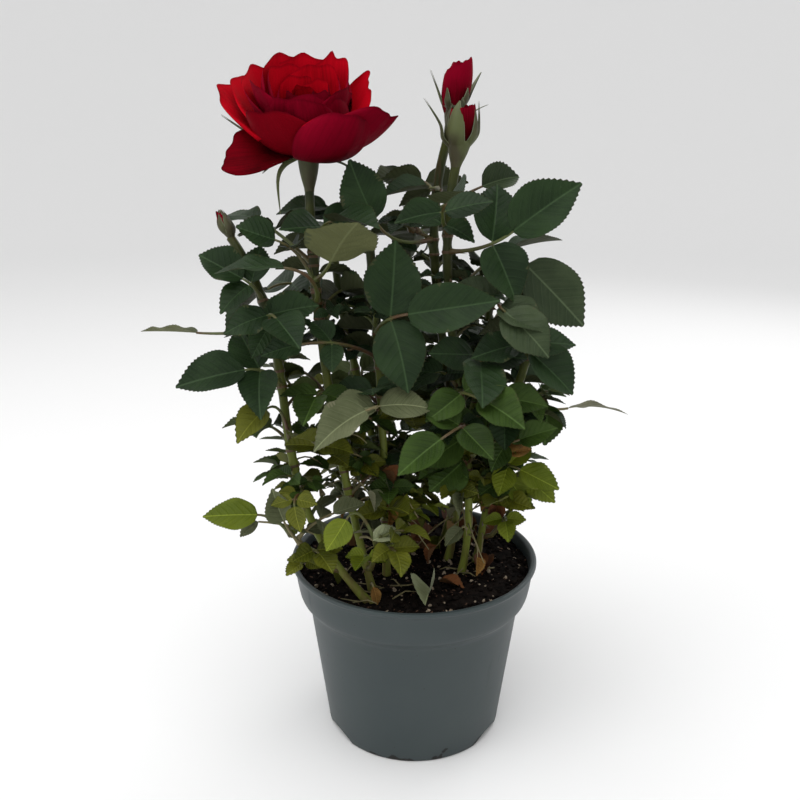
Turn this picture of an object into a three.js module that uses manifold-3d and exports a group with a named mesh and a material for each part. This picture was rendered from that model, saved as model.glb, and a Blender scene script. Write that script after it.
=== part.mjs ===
// Patio rose in its nursery pot: a clump of eight canes with masses of compound leaves,
// one open bloom and three buds. Millimetres, +Z up, the pot's axis on Z, its underside at Z = 0.

import * as THREE from 'three';
import { mergeVertices } from 'three/addons/utils/BufferGeometryUtils.js';
import Module from 'manifold-3d';

// Driving dimensions of the pot and its soil.
const POT_HEIGHT = 88;
const POT_WALL = 1.6;
const LIP_RADIUS = 60;
const LIP_HEIGHT = 2;
const BAND_TOP_RADIUS = 58.8;
const BAND_FOOT_RADIUS = 56.4;
const BAND_FOOT_Z = 67.5;
const WALL_TOP_RADIUS = 52.2;
const BASE_RADIUS = 43.4;
const POT_SIDES = 32;
const SCOOP_RADIUS = 17;
const SCOOP_DROP = 13;
const SCOOP_INNER_END = 37;
const SCOOP_LENGTH = 14;
const SCOOP_HEADINGS = [33, 147, 213, 327];
const DRAIN_RADIUS = 3.5;
const DRAIN_RING = 20;
const DRAIN_COUNT = 6;
const SOIL_TOP = 83;
const SOIL_DISH = 1.5;
const SOIL_SLOPE = 6;
const SCOOP_SIDES = 24;
const DRAIN_SIDES = 10;
const BAND_STEP = 1.5;
const LIP_ROUND = 0.5;
const GAP = 0.3;
const SLIVER = 0.05;
const PETAL_SLIVER = 0.3;

// Driving dimensions of the plant.
const CANE_FOOT_RADIUS = 3;
const CANE_RADIUS = 2.3;
const CANE_TIP_RADIUS = 1.7;
const CANE_FLARE = 9;
const CANE_SIDES = 7;
const CANE_STEP = 16;
const SHOOT_RADIUS = 1.4;
const SHOOT_TIP_RADIUS = 0.9;
const SHOOT_SIDES = 5;
const PETIOLE_RADIUS = 0.85;
const PETIOLE_TIP_RADIUS = 0.55;
const PETIOLE_BEND = 0.45;
const PETIOLE_REACH = [0.5, 0.9, 1.35];
const LEAF_WIDTH = 0.7;
const LEAF_THICKNESS = 0.9;
const LEAF_FOLD = 0.16;
const LEAF_BEND = 0.12;
const LEAF_ROOT = 1.1;
const LOW_LEAF = 0.6;
const BARE_FOOT = 4;
const BARE_TIP = 22;
const HEADING_SPREAD = 40;
const TURN_SPREAD = 50;
const RISE_RANGE = [12, 42];
const DROOP_RANGE = [8, 48];
const FACE_RANGE = [20, 55];
const SINGLE_PAIR_SHARE = 0.35;
const PAIR_PLACES = [0.64, 0.26];
const PAIR_SCALES = [0.82, 0.66];
const PAIR_SPREAD = 76;
const SEPAL_THICKNESS = 0.8;
const SEPAL_WIDTH = 0.09;
const SEPAL_ROOT = 0.6;
const SEPAL_CREST = 0.4;
const SEPAL_DROOPS = [-25, -10, -15, -70, -30];
const SEPAL_HEADING = 20;
const SEPAL_TURN = 72;
const SEPAL_LENGTH = 24;
const HIP_HEIGHT = 14;
const HIP_SIDES = 9;
const BUD_SIDES = 10;
const PETAL_THICKNESS = 1.2;
const PETAL_START = 2;
const PETAL_CUP = 5;
const PETAL_ROUND = 0.2;
const PETAL_SPREAD = [0.12, 0.7];
const PETAL_CELLS = 3;
const GOLDEN_ANGLE = 137.5;
const CROWN_FLOOR = 88;
const STEM_CLEAR = 4.5;
const STEM_CLEAR_SHARE = 0.2;

const DEGREE = Math.PI / 180;
const UP = new THREE.Vector3(0, 0, 1);

// Booleans run in manifold-3d; these two functions carry a shape there and back.
const wasm = await Module();
wasm.setup();

function solidFrom(geometry) {
  const bare = geometry.clone();
  bare.deleteAttribute('normal');
  bare.deleteAttribute('uv');
  const merged = mergeVertices(bare, 1e-4);
  const corners = merged.index.array;
  const triangles = [];
  for (let i = 0; i < corners.length; i += 3) {
    const [a, b, c] = [corners[i], corners[i + 1], corners[i + 2]];
    if (a !== b && b !== c && c !== a) triangles.push(a, b, c);
  }
  const mesh = new wasm.Mesh({
    numProp: 3,
    vertProperties: Float32Array.from(merged.attributes.position.array),
    triVerts: Uint32Array.from(triangles),
  });
  return new wasm.Manifold(mesh);
}

function geometryFrom(solid) {
  const mesh = solid.getMesh();
  const geometry = new THREE.BufferGeometry();
  geometry.setAttribute('position', new THREE.BufferAttribute(Float32Array.from(mesh.vertProperties), 3));
  geometry.setIndex(new THREE.BufferAttribute(Uint32Array.from(mesh.triVerts), 1));
  geometry.computeVertexNormals();
  return geometry;
}

function joined(solids) {
  return solids.reduce((whole, solid) => whole.add(solid));
}

// Pieces fused into one body: slivers are merged away, and loose scraps and sealed hollows dropped.
function fused(solids, sliver = SLIVER) {
  const bodies = joined(solids).simplify(sliver).decompose();
  return bodies.reduce((largest, body) => (body.volume() > largest.volume() ? body : largest));
}

// Park-Miller generator: the same seed always grows the same plant.
function seededRandom(seed) {
  let state = seed;
  return () => {
    state = (state * 48271) % 2147483647;
    return state / 2147483647;
  };
}

function compass(heading, rise) {
  const flat = Math.cos(rise * DEGREE);
  const x = flat * Math.cos(heading * DEGREE);
  const y = flat * Math.sin(heading * DEGREE);
  return new THREE.Vector3(x, y, Math.sin(rise * DEGREE));
}

function mix(from, to, share) {
  return from + (to - from) * share;
}

const nodes = [];

function addNode(name, solid, material) {
  const mesh = new THREE.Mesh(geometryFrom(solid), material);
  mesh.name = name;
  nodes.push(mesh);
}

// A turned solid about Z from [radius, height] pairs that start and end on the axis.
function turned(profile, sides) {
  const points = profile.map(([radius, height]) => new THREE.Vector2(radius, height));
  const lathe = new THREE.LatheGeometry(points, sides);
  return solidFrom(lathe.rotateX(Math.PI / 2));
}

// A closed tapering tube: one ring of corners at each centre and a fan at each end. Rings are
// square to the path, or level so that a cane's ends are flat cuts.
function taperedTube(centres, radii, sides, level = false) {
  const positions = [];
  const triangles = [];
  const across = new THREE.Vector3(1, 0, 0);
  const square = new THREE.Vector3();
  const tangent = new THREE.Vector3();
  centres.forEach((centre, ring) => {
    const before = centres[Math.max(ring - 1, 0)];
    const after = centres[Math.min(ring + 1, centres.length - 1)];
    tangent.subVectors(after, before).normalize();
    if (level) tangent.copy(UP);
    if (ring === 0 && Math.abs(tangent.x) > 0.8) across.set(0, 1, 0);
    across.addScaledVector(tangent, -across.dot(tangent)).normalize();
    square.crossVectors(tangent, across);
    for (let side = 0; side < sides; side += 1) {
      const turn = (side / sides) * 2 * Math.PI;
      const corner = centre.clone();
      corner.addScaledVector(across, radii[ring] * Math.cos(turn));
      corner.addScaledVector(square, radii[ring] * Math.sin(turn));
      positions.push(...corner.toArray());
    }
  });
  const rings = centres.length;
  for (let ring = 0; ring < rings - 1; ring += 1) {
    for (let side = 0; side < sides; side += 1) {
      const a = ring * sides + side;
      const b = ring * sides + ((side + 1) % sides);
      triangles.push(a, b, b + sides, a, b + sides, a + sides);
    }
  }
  for (let side = 1; side < sides - 1; side += 1) {
    const last = (rings - 1) * sides;
    triangles.push(0, side + 1, side, last, last + side, last + side + 1);
  }
  return solidFrom(indexedGeometry(positions, triangles));
}

function indexedGeometry(positions, triangles) {
  const geometry = new THREE.BufferGeometry();
  geometry.setAttribute('position', new THREE.Float32BufferAttribute(positions, 3));
  geometry.setIndex(triangles);
  return geometry;
}

// ---- Nursery pot: a thin tapering wall under a stepped rim band with a beaded lip. Four shallow
// arches are scooped out of the foot, and the floor has a ring of drainage holes.

function bandRadius(z) {
  return mix(BAND_FOOT_RADIUS, BAND_TOP_RADIUS, (z - BAND_FOOT_Z) / (POT_HEIGHT - BAND_FOOT_Z));
}

function wallRadius(z) {
  return mix(BASE_RADIUS, WALL_TOP_RADIUS, z / BAND_FOOT_Z);
}

// The space inside the pot, drawn in by the given inset and filled to the given height.
function potInside(inset, floorZ, topZ, dish) {
  const stepZ = BAND_FOOT_Z + inset;
  return turned([
    [0, floorZ],
    [wallRadius(floorZ) - inset, floorZ],
    [wallRadius(stepZ - inset) - inset, stepZ],
    [bandRadius(stepZ) - inset, stepZ + BAND_STEP],
    [bandRadius(topZ - dish) - inset, topZ - dish],
    [bandRadius(topZ) - inset - SOIL_SLOPE * dish, topZ],
    [0, topZ],
  ], POT_SIDES);
}

// Round bars laid along the radius, their axes below the floor, so that only their tops cut.
function footScoops(swell) {
  const radius = SCOOP_RADIUS + swell;
  const length = SCOOP_LENGTH + 2 * swell;
  const scoops = SCOOP_HEADINGS.map((heading) => {
    const bar = new THREE.CylinderGeometry(radius, radius, length, SCOOP_SIDES);
    bar.rotateZ(Math.PI / 2);
    bar.translate(SCOOP_INNER_END + SCOOP_LENGTH / 2, 0, -SCOOP_DROP);
    return solidFrom(bar.rotateZ((heading * Math.PI) / 180));
  });
  return joined(scoops);
}

function buildPot() {
  const outside = turned([
    [0, 0],
    [BASE_RADIUS, 0],
    [WALL_TOP_RADIUS, BAND_FOOT_Z - 1],
    [BAND_FOOT_RADIUS, BAND_FOOT_Z],
    [bandRadius(POT_HEIGHT - LIP_HEIGHT), POT_HEIGHT - LIP_HEIGHT],
    [LIP_RADIUS, POT_HEIGHT - 0.7 * LIP_HEIGHT],
    [LIP_RADIUS, POT_HEIGHT - 0.2 * LIP_HEIGHT],
    [LIP_RADIUS - LIP_ROUND, POT_HEIGHT],
    [0, POT_HEIGHT],
  ], POT_SIDES);
  const inside = potInside(POT_WALL, POT_WALL, POT_HEIGHT + 1, 0);
  let pot = outside.subtract(footScoops(0));
  pot = pot.subtract(inside.subtract(footScoops(POT_WALL)));
  for (let hole = 0; hole < DRAIN_COUNT; hole += 1) {
    const turn = ((hole + 0.5) / DRAIN_COUNT) * 2 * Math.PI;
    const drain = new THREE.CylinderGeometry(DRAIN_RADIUS, DRAIN_RADIUS, 4 * POT_WALL, DRAIN_SIDES);
    drain.rotateX(Math.PI / 2);
    drain.translate(DRAIN_RING * Math.cos(turn), DRAIN_RING * Math.sin(turn), 0);
    pot = pot.subtract(solidFrom(drain));
  }
  return pot;
}

function buildSoil() {
  const inset = POT_WALL + GAP;
  const fill = potInside(inset, inset, SOIL_TOP, SOIL_DISH);
  return fill.subtract(footScoops(inset));
}

// ---- Canes: woody stems that lean outward from two clumps in the soil. Each is a smooth curve
// through four points; the bare foot is the cane's own node and the leafy top is a mass's stem.

const canes = {
  bloom: [[-19, -31, 83.3], [-33, -22, 145], [-42, -14, 204], [-46, -5, 262]],
  left: [[-21, -40, 83.3], [-46, -31, 118], [-59, -20, 178], [-81, -5, 241]],
  middle: [[-13, -15, 83.3], [-14, -14, 130], [-16, -10, 185], [-20, -8, 238]],
  front: [[23, -12, 83.3], [24, -10, 145], [15, -8, 215], [17, -8, 272]],
  back: [[17, 2, 83.3], [20, 6, 145], [10, 8, 215], [15, 9, 287]],
  right: [[31, 0, 83.3], [38, -2, 130], [46, -6, 170], [58, -10, 212]],
  rear_left: [[-12, 20, 83.3], [-20, 28, 130], [-32, 36, 180], [-40, 40, 228]],
  rear_right: [[16, 24, 83.3], [26, 32, 130], [34, 40, 175], [40, 46, 225]],
};

// The cane's centre at a height: the cubic through its four points.
function caneAt(cane, z) {
  const centre = new THREE.Vector3(0, 0, z);
  cane.forEach(([x, y, knot], i) => {
    let weight = 1;
    cane.forEach((other, j) => {
      if (j !== i) weight *= (z - other[2]) / (knot - other[2]);
    });
    centre.x += weight * x;
    centre.y += weight * y;
  });
  return centre;
}

function caneRadius(cane, z) {
  const [foot, tip] = [cane[0][2], cane[3][2]];
  const share = (z - foot) / (tip - foot);
  const flare = Math.max(0, 1 - (z - foot) / CANE_FLARE);
  return mix(CANE_RADIUS, CANE_TIP_RADIUS, share) + (CANE_FOOT_RADIUS - CANE_RADIUS) * flare;
}

function caneLength(cane, fromZ, toZ) {
  const steps = Math.max(2, Math.round((toZ - fromZ) / CANE_STEP));
  const centres = [];
  const radii = [];
  for (let step = 0; step <= steps; step += 1) {
    const z = mix(fromZ, toZ, step / steps);
    centres.push(caneAt(cane, z));
    radii.push(caneRadius(cane, z));
  }
  return taperedTube(centres, radii, CANE_SIDES, true);
}

// ---- Compound leaf: one closed skin runs along the petiole, out round each pair of leaflets and
// round the end leaflet. The petiole is four-sided; a blade is folded along its midrib.

// Corners of a petiole ring, by hand (-1 left, 1 right) and level (1 upper, -1 lower).
const RING = [[-1, 1], [1, 1], [1, -1], [-1, -1]];
const [UPPER_LEFT, UPPER_RIGHT, LOWER_RIGHT, LOWER_LEFT] = [0, 1, 2, 3];

// Outline of a blade from its root round the tip and back, as shares of length and half width.
const BLADE_OUTLINE = [[0.24, -0.9], [0.62, -0.86], [1, 0], [0.62, 0.86], [0.24, 0.9]];
const BLADE_CREST = 0.42;

function petioleCurve(root, leaf) {
  const end = root.clone().addScaledVector(compass(leaf.heading, leaf.rise), leaf.reach);
  const bend = end.clone().addScaledVector(compass(leaf.turn, leaf.tip), -PETIOLE_BEND * leaf.reach);
  return new THREE.QuadraticBezierCurve3(root, bend, end);
}

// A whole leaf. heading and rise aim the petiole, reach is its length; turn and tip aim the end
// leaflet, blade is its length; face leans the upper side of the blades towards the lean heading.
// swell thickens it to try its room, and start leaves out the petiole's first share.
function compoundLeaf(root, leaf, swell, start = 0) {
  const petiole = petioleCurve(root, leaf);
  const facing = compass(leaf.lean, 90 - leaf.face);
  const positions = [];
  const triangles = [];
  const put = (point) => positions.push(...point.toArray()) / 3 - 1;

  // A ring of the petiole; its four corners come back in the order of RING.
  const ringAt = (place) => {
    const centre = petiole.getPoint(place);
    const along = petiole.getTangent(place);
    const across = new THREE.Vector3().crossVectors(along, facing).normalize();
    const above = new THREE.Vector3().crossVectors(across, along);
    const radius = mix(PETIOLE_RADIUS, PETIOLE_TIP_RADIUS, place) + swell;
    return RING.map(([hand, level]) => {
      const corner = centre.clone().addScaledVector(across, hand * radius);
      return put(corner.addScaledVector(above, level * radius));
    });
  };

  // A blade on an open side of the petiole, between two [upper, lower] corner pairs.
  const addBlade = (base, direction, length, first, last) => {
    const side = new THREE.Vector3().crossVectors(direction, facing).normalize();
    const above = new THREE.Vector3().crossVectors(side, direction);
    const halfWidth = 0.5 * LEAF_WIDTH * length + swell;
    const corner = (along, across, thick) => {
      const lift = (LEAF_FOLD * Math.abs(across) - LEAF_BEND * along * along) * length;
      const point = base.clone().addScaledVector(direction, along * (length + swell));
      point.addScaledVector(side, across * halfWidth);
      return put(point.addScaledVector(above, lift + thick * (0.5 * LEAF_THICKNESS + swell)));
    };
    const edge = BLADE_OUTLINE.map(([along, across]) => corner(along, across, 0));
    const crests = [corner(BLADE_CREST, 0, 1), corner(BLADE_CREST, 0, -1)];
    crests.forEach((crest, level) => {
      const loop = [first[level], ...edge, last[level]];
      loop.forEach((here, i) => {
        const next = loop[(i + 1) % loop.length];
        const face = level === 0 ? [next, here, crest] : [here, next, crest];
        triangles.push(...face);
      });
    });
    triangles.push(first[0], edge[0], first[1], edge[edge.length - 1], last[0], last[1]);
  };

  const half = LEAF_ROOT / leaf.reach;
  const pairs = PAIR_PLACES.slice(0, leaf.pairs).reverse();
  const rings = [ringAt(start)];
  for (const place of pairs) rings.push(ringAt(place - half), ringAt(place + half));
  rings.push(ringAt(1));
  for (let i = 0; i < rings.length - 1; i += 1) {
    const [here, next] = [rings[i], rings[i + 1]];
    const open = i % 2 === 1;
    for (let side = 0; side < 4; side += 1) {
      const after = (side + 1) % 4;
      const isFlank = side === UPPER_RIGHT || side === LOWER_LEFT;
      if (open && isFlank) continue;
      triangles.push(here[side], here[after], next[after], here[side], next[after], next[side]);
    }
  }
  pairs.forEach((place, i) => {
    const [here, next] = [rings[2 * i + 1], rings[2 * i + 2]];
    const base = petiole.getPoint(place);
    const along = petiole.getTangent(place);
    const across = new THREE.Vector3().crossVectors(along, facing).normalize();
    const length = leaf.blade * PAIR_SCALES[leaf.pairs - 1 - i];
    const spread = (hand) => {
      const direction = along.clone().multiplyScalar(Math.cos(PAIR_SPREAD * DEGREE));
      return direction.addScaledVector(across, hand * Math.sin(PAIR_SPREAD * DEGREE)).normalize();
    };
    const left = [[here[UPPER_LEFT], here[LOWER_LEFT]], [next[UPPER_LEFT], next[LOWER_LEFT]]];
    const right = [[next[UPPER_RIGHT], next[LOWER_RIGHT]], [here[UPPER_RIGHT], here[LOWER_RIGHT]]];
    addBlade(base, spread(-1), length, ...left);
    addBlade(base, spread(1), length, ...right);
  });
  const [foot, end] = [rings[0], rings[rings.length - 1]];
  triangles.push(foot[0], foot[3], foot[2], foot[0], foot[2], foot[1]);
  const endLeft = [end[UPPER_LEFT], end[LOWER_LEFT]];
  const endRight = [end[UPPER_RIGHT], end[LOWER_RIGHT]];
  addBlade(petiole.getPoint(1), compass(leaf.turn, leaf.tip), leaf.blade, endLeft, endRight);
  return solidFrom(indexedGeometry(positions, triangles));
}

// ---- Masses of foliage. Each has one stem: the leafy top of a cane, or a low side shoot that
// starts beside its cane. Its chosen leaves come first, then leaves that spiral up by a seeded rule.

const masses = {
  bloom: {
    stem: { cane: 'bloom', from: 122, to: 261.7 },
    seed: 761, count: 30, heading: 40, blade: [22, 31], shade: 0x2f4a33,
    leaves: [
      { at: 224, heading: -69, rise: 22, reach: 29, turn: -69, tip: 33, blade: 40, face: -40, pairs: 0 },
      { at: 236, heading: 75, rise: 45, reach: 25, turn: -175, tip: 7, blade: 24, face: 25, pairs: 1 },
      { at: 220, heading: -147, rise: 50, reach: 29, turn: -159, tip: 18, blade: 24, face: 50, pairs: 0 },
      { at: 214, heading: -112, rise: 34, reach: 33, turn: -167, tip: 7, blade: 29, face: 12, pairs: 0 },
      { at: 158, heading: -63, rise: 28, reach: 38, turn: -147, tip: -13, blade: 28, face: 35, pairs: 1 },
    ],
  },
  left: {
    stem: { cane: 'left', from: 118, to: 240.7 },
    seed: 723, count: 30, heading: -10, blade: [18, 27], shade: 0x34502f,
    leaves: [
      { at: 215, heading: -141, rise: 48, reach: 14, turn: 180, tip: 29, blade: 23, face: 45, pairs: 1 },
      { at: 203, heading: 172, rise: -5, reach: 35, turn: 169, tip: 2, blade: 28, face: -12, pairs: 0 },
      { at: 178, heading: -130, rise: 29, reach: 23, turn: -159, tip: -5, blade: 30, face: 40, pairs: 1 },
      { at: 150, heading: -133, rise: 59, reach: 25, turn: -132, tip: -23, blade: 20, face: 45, pairs: 0 },
    ],
  },
  middle: {
    stem: { cane: 'middle', from: 106, to: 238 },
    seed: 986, count: 32, heading: -60, blade: [22, 31], shade: 0x2f4a33,
    leaves: [
      { at: 200, heading: -59, rise: 25, reach: 30, turn: -18, tip: 11, blade: 40, face: 68, pairs: 1 },
      { at: 188, heading: -138, rise: 17, reach: 44, turn: -154, tip: -5, blade: 18, face: 45, pairs: 1 },
    ],
  },
  front: {
    stem: { cane: 'front', from: 112, to: 271.7 },
    seed: 41, count: 30, heading: 20, blade: [20, 30], shade: 0x2d4831,
    leaves: [
      { at: 236, heading: -28, rise: 18, reach: 32, turn: -9, tip: 39, blade: 34, face: 60, pairs: 1 },
      { at: 165, heading: -81, rise: 22, reach: 39, turn: -37, tip: -14, blade: 24, face: 50, pairs: 1 },
      { at: 150, heading: -107, rise: 18, reach: 46, turn: -150, tip: -27, blade: 24, face: 45, pairs: 1 },
    ],
  },
  back: {
    stem: { cane: 'back', from: 106, to: 286.7 },
    seed: 485, count: 32, heading: -70, blade: [22, 30], shade: 0x2d4831,
    leaves: [
      { at: 240, heading: -139, rise: 17, reach: 36, turn: -159, tip: 62, blade: 27, face: 78, pairs: 0 },
      { at: 252, heading: -23, rise: 27, reach: 25, turn: 15, tip: 21, blade: 20, face: 60, pairs: 0 },
      { at: 262, heading: -112, rise: 3, reach: 11, turn: -162, tip: -4, blade: 22, face: 20, pairs: 0 },
    ],
  },
  right: {
    stem: { cane: 'right', from: 108, to: 212 },
    seed: 808, count: 30, heading: 80, blade: [20, 29], shade: 0x34502f,
    leaves: [
      { at: 210, heading: -148, rise: 61, reach: 24, turn: -8, tip: -43, blade: 39, face: 50, pairs: 0 },
      { at: 204, heading: -126, rise: 18, reach: 32, turn: -38, tip: -30, blade: 27, face: 50, pairs: 1 },
      { at: 192, heading: -98, rise: 11, reach: 26, turn: -17, tip: -37, blade: 28, face: 45, pairs: 1 },
      { at: 165, heading: -106, rise: 23, reach: 28, turn: -25, tip: 2, blade: 21, face: 55, pairs: 0 },
      { at: 150, heading: -80, rise: 15, reach: 27, turn: -25, tip: 28, blade: 18, face: 50, pairs: 1 },
      { at: 172, heading: 14, rise: -20, reach: 28, turn: 0, tip: 12, blade: 29, face: -25, pairs: 0 },
      { at: 163, heading: -9, rise: 11, reach: 17, turn: -95, tip: -70, blade: 20, face: 70, pairs: 0 },
      { at: 130, heading: -61, rise: 24, reach: 23, turn: -28, tip: -17, blade: 20, face: 45, pairs: 1 },
    ],
  },
  rear_left: {
    stem: { cane: 'rear_left', from: 106, to: 228 },
    seed: 563, count: 36, heading: -160, blade: [22, 32], shade: 0x2f4a33, leaves: [],
  },
  rear_right: {
    stem: { cane: 'rear_right', from: 106, to: 225 },
    seed: 215, count: 36, heading: 30, blade: [22, 32], shade: 0x2f4a33, leaves: [],
  },
  low_left: {
    stem: { beside: 'left', at: 96, heading: -170, rise: 48, length: 26 },
    seed: 70, count: 9, heading: 110, blade: [12, 18], shade: 0x7f9a3c,
    leaves: [
      { at: 1, heading: -172, rise: 36, reach: 18, turn: -170, tip: 5, blade: 24, face: 35, pairs: 0 },
      { at: 0.8, heading: -132, rise: 58, reach: 16, turn: -137, tip: 69, blade: 17, face: 60, pairs: 0 },
    ],
  },
  low_front: {
    stem: { beside: 'bloom', at: 94, heading: -60, rise: 66, length: 24 },
    seed: 579, count: 9, heading: 120, blade: [12, 17], shade: 0x8fa544,
    leaves: [
      { at: 0.7, heading: -134, rise: 46, reach: 26, turn: -126, tip: -41, blade: 16, face: 60, pairs: 0 },
    ],
  },
  low_right: {
    stem: { beside: 'right', at: 96, heading: -20, rise: 58, length: 24 },
    seed: 511, count: 10, heading: 70, blade: [13, 19], shade: 0x6f9140,
    leaves: [
      { at: 1, heading: -55, rise: 63, reach: 17, turn: -38, tip: -27, blade: 17, face: 50, pairs: 0 },
    ],
  },
  low_rear: {
    stem: { beside: 'rear_left', at: 96, heading: 95, rise: 60, length: 26 },
    seed: 95, count: 10, heading: -110, blade: [13, 19], shade: 0x6f9140, leaves: [],
  },
};

// A side shoot's straight stem starts clear of its cane; share runs from its root to its tip.
function shootAt(stem, share) {
  const cane = canes[stem.beside];
  const aim = compass(stem.heading, stem.rise);
  const flat = compass(stem.heading, 0);
  const start = caneAt(cane, stem.at);
  const clear = caneRadius(cane, stem.at) + GAP + SHOOT_RADIUS / Math.cos((90 - stem.rise) * DEGREE);
  start.addScaledVector(flat, clear);
  return start.addScaledVector(aim, share * stem.length);
}

function shootSolid(stem) {
  const centres = [0, 0.5, 1].map((share) => shootAt(stem, share));
  const radii = [0, 0.5, 1].map((share) => mix(SHOOT_RADIUS, SHOOT_TIP_RADIUS, share));
  return taperedTube(centres, radii, SHOOT_SIDES);
}

function stemPoint(stem, place) {
  return stem.cane ? caneAt(canes[stem.cane], place) : shootAt(stem, place);
}

// The leaves of one mass, chosen ones first. Every random number is drawn before any leaf is tried.
function leavesOf(mass) {
  const random = seededRandom(mass.seed);
  const { stem } = mass;
  const [low, high] = stem.cane ? [stem.from + BARE_FOOT, stem.to - BARE_TIP] : [0.25, 1];
  const spiral = [];
  for (let k = 0; k < mass.count; k += 1) {
    const share = (k + 0.5) / mass.count;
    const vigour = mix(LOW_LEAF, 1, Math.min(1, 1.6 * share));
    const heading = mass.heading + GOLDEN_ANGLE * k + HEADING_SPREAD * (random() - 0.5);
    const rise = mix(...RISE_RANGE, random());
    const blade = vigour * mix(...mass.blade, random());
    const droop = mix(...DROOP_RANGE, random());
    const pairs = random() < SINGLE_PAIR_SHARE ? 1 : 2;
    const reach = blade * PETIOLE_REACH[pairs] * (0.9 + 0.2 * random());
    spiral.push({
      at: mix(low, high, share),
      heading,
      rise,
      reach,
      turn: heading + TURN_SPREAD * (random() - 0.5),
      tip: rise - droop,
      blade,
      face: mix(...FACE_RANGE, random()),
      lean: heading,
      pairs,
    });
  }
  const chosen = mass.leaves.map((leaf) => ({ lean: -90, ...leaf }));
  return { chosen, spiral };
}

// ---- Petals: thin cupped sheets that rise from the hip and open outward.

// A point of a petal: along from root to rim, across from -1 to 1 edge to edge. The petal leaves
// the hip at its root tilt from upright and bends evenly to its rim tilt; twist lowers one edge.
function petalPoint(petal, along, across) {
  const tilt = mix(petal.root, petal.rim, 0.5 * along) * DEGREE;
  const run = petal.length * along * (1 - PETAL_ROUND * across * across * along);
  const out = PETAL_START + run * Math.sin(tilt);
  const height = run * Math.cos(tilt);
  const aside = across * 0.5 * petal.width * Math.sin(Math.PI * mix(...PETAL_SPREAD, along));
  const twist = petal.twist * along * DEGREE;
  const radius = out + PETAL_CUP;
  const wrap = (aside * Math.cos(twist)) / radius;
  const point = new THREE.Vector3(radius * Math.cos(wrap) - PETAL_CUP, radius * Math.sin(wrap), height);
  point.z -= aside * Math.sin(twist);
  return point.applyAxisAngle(UP, petal.heading * DEGREE);
}

function petalSolid(petal, origin) {
  const rows = PETAL_CELLS;
  const columns = PETAL_CELLS;
  const positions = [];
  const triangles = [];
  const sheet = (rows + 1) * (columns + 1);
  for (const face of [1, -1]) {
    for (let row = 0; row <= rows; row += 1) {
      for (let column = 0; column <= columns; column += 1) {
        const along = row / rows;
        const across = (2 * column) / columns - 1;
        const here = petalPoint(petal, along, across);
        const ahead = petalPoint(petal, along + 0.01, across).sub(here);
        const beside = petalPoint(petal, along, across + 0.01).sub(here);
        const normal = new THREE.Vector3().crossVectors(ahead, beside).normalize();
        here.addScaledVector(normal, 0.5 * face * PETAL_THICKNESS).add(origin);
        positions.push(...here.toArray());
      }
    }
  }
  const at = (row, column, face) => row * (columns + 1) + column + face * sheet;
  const quad = (a, b, c, d) => triangles.push(a, b, c, a, c, d);
  for (let row = 0; row < rows; row += 1) {
    for (let column = 0; column < columns; column += 1) {
      quad(at(row, column, 0), at(row + 1, column, 0), at(row + 1, column + 1, 0), at(row, column + 1, 0));
      quad(at(row, column, 1), at(row, column + 1, 1), at(row + 1, column + 1, 1), at(row + 1, column, 1));
    }
    quad(at(row, 0, 0), at(row, 0, 1), at(row + 1, 0, 1), at(row + 1, 0, 0));
    quad(at(row, columns, 0), at(row + 1, columns, 0), at(row + 1, columns, 1), at(row, columns, 1));
  }
  for (let column = 0; column < columns; column += 1) {
    quad(at(0, column, 0), at(0, column + 1, 0), at(0, column + 1, 1), at(0, column, 1));
    quad(at(rows, column, 0), at(rows, column, 1), at(rows, column + 1, 1), at(rows, column + 1, 0));
  }
  return solidFrom(indexedGeometry(positions, triangles));
}

// A sepal: a narrow blade of eight faces, its root inside the hip.
function sepal(origin, heading, rise, length) {
  const along = compass(heading, rise);
  const side = compass(heading + 90, 0);
  const above = new THREE.Vector3().crossVectors(along, side);
  const corner = (share, across, lift) => {
    const point = origin.clone().addScaledVector(along, share * length);
    return point.addScaledVector(side, across).addScaledVector(above, lift).toArray();
  };
  const [width, thickness] = [SEPAL_WIDTH * length + SEPAL_ROOT, SEPAL_THICKNESS];
  const crest = (across, lift) => corner(SEPAL_CREST, across, lift);
  const corners = [
    corner(0, 0, 0), corner(1, 0, 0),
    crest(width, 0), crest(0, thickness), crest(-width, 0), crest(0, -thickness),
  ];
  const triangles = [0, 2, 3, 0, 3, 4, 0, 4, 5, 0, 5, 2, 1, 3, 2, 1, 4, 3, 1, 5, 4, 1, 2, 5];
  return solidFrom(indexedGeometry(corners.flat(), triangles));
}

// ---- Open bloom: a hip, five sepals, a tight heart and cupped petals, open widest at the front
// and left, where one petal bends right down, and upright at the back.

const petals = [
  { heading: -74, root: 104, rim: 4, length: 40, width: 54, twist: 0 },
  { heading: -170, root: 76, rim: 90, length: 38, width: 34, twist: 60 },
  { heading: 168, root: 68, rim: 46, length: 46, width: 44, twist: 38 },
  { heading: -12, root: 96, rim: 36, length: 40, width: 42, twist: 20 },
  { heading: 50, root: 78, rim: 50, length: 38, width: 40, twist: 0 },
  { heading: 115, root: 74, rim: 36, length: 42, width: 44, twist: 0 },
  { heading: 96, root: 52, rim: -6, length: 48, width: 50, twist: 0 },
  { heading: 26, root: 58, rim: 12, length: 46, width: 38, twist: 0 },
  { heading: 152, root: 56, rim: 8, length: 47, width: 42, twist: 20 },
  { heading: -60, root: 70, rim: -14, length: 38, width: 46, twist: 0 },
];

// Radius and height up the hip, its neck, and the tight heart of furled petals that it carries.
const HIP_PROFILE = [
  [0, 0], [2, 0], [4.6, 5], [4.8, 10], [4.4, 12], [6.5, 15], [9, 22], [11, 34], [7, 42], [0, 44],
];

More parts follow.
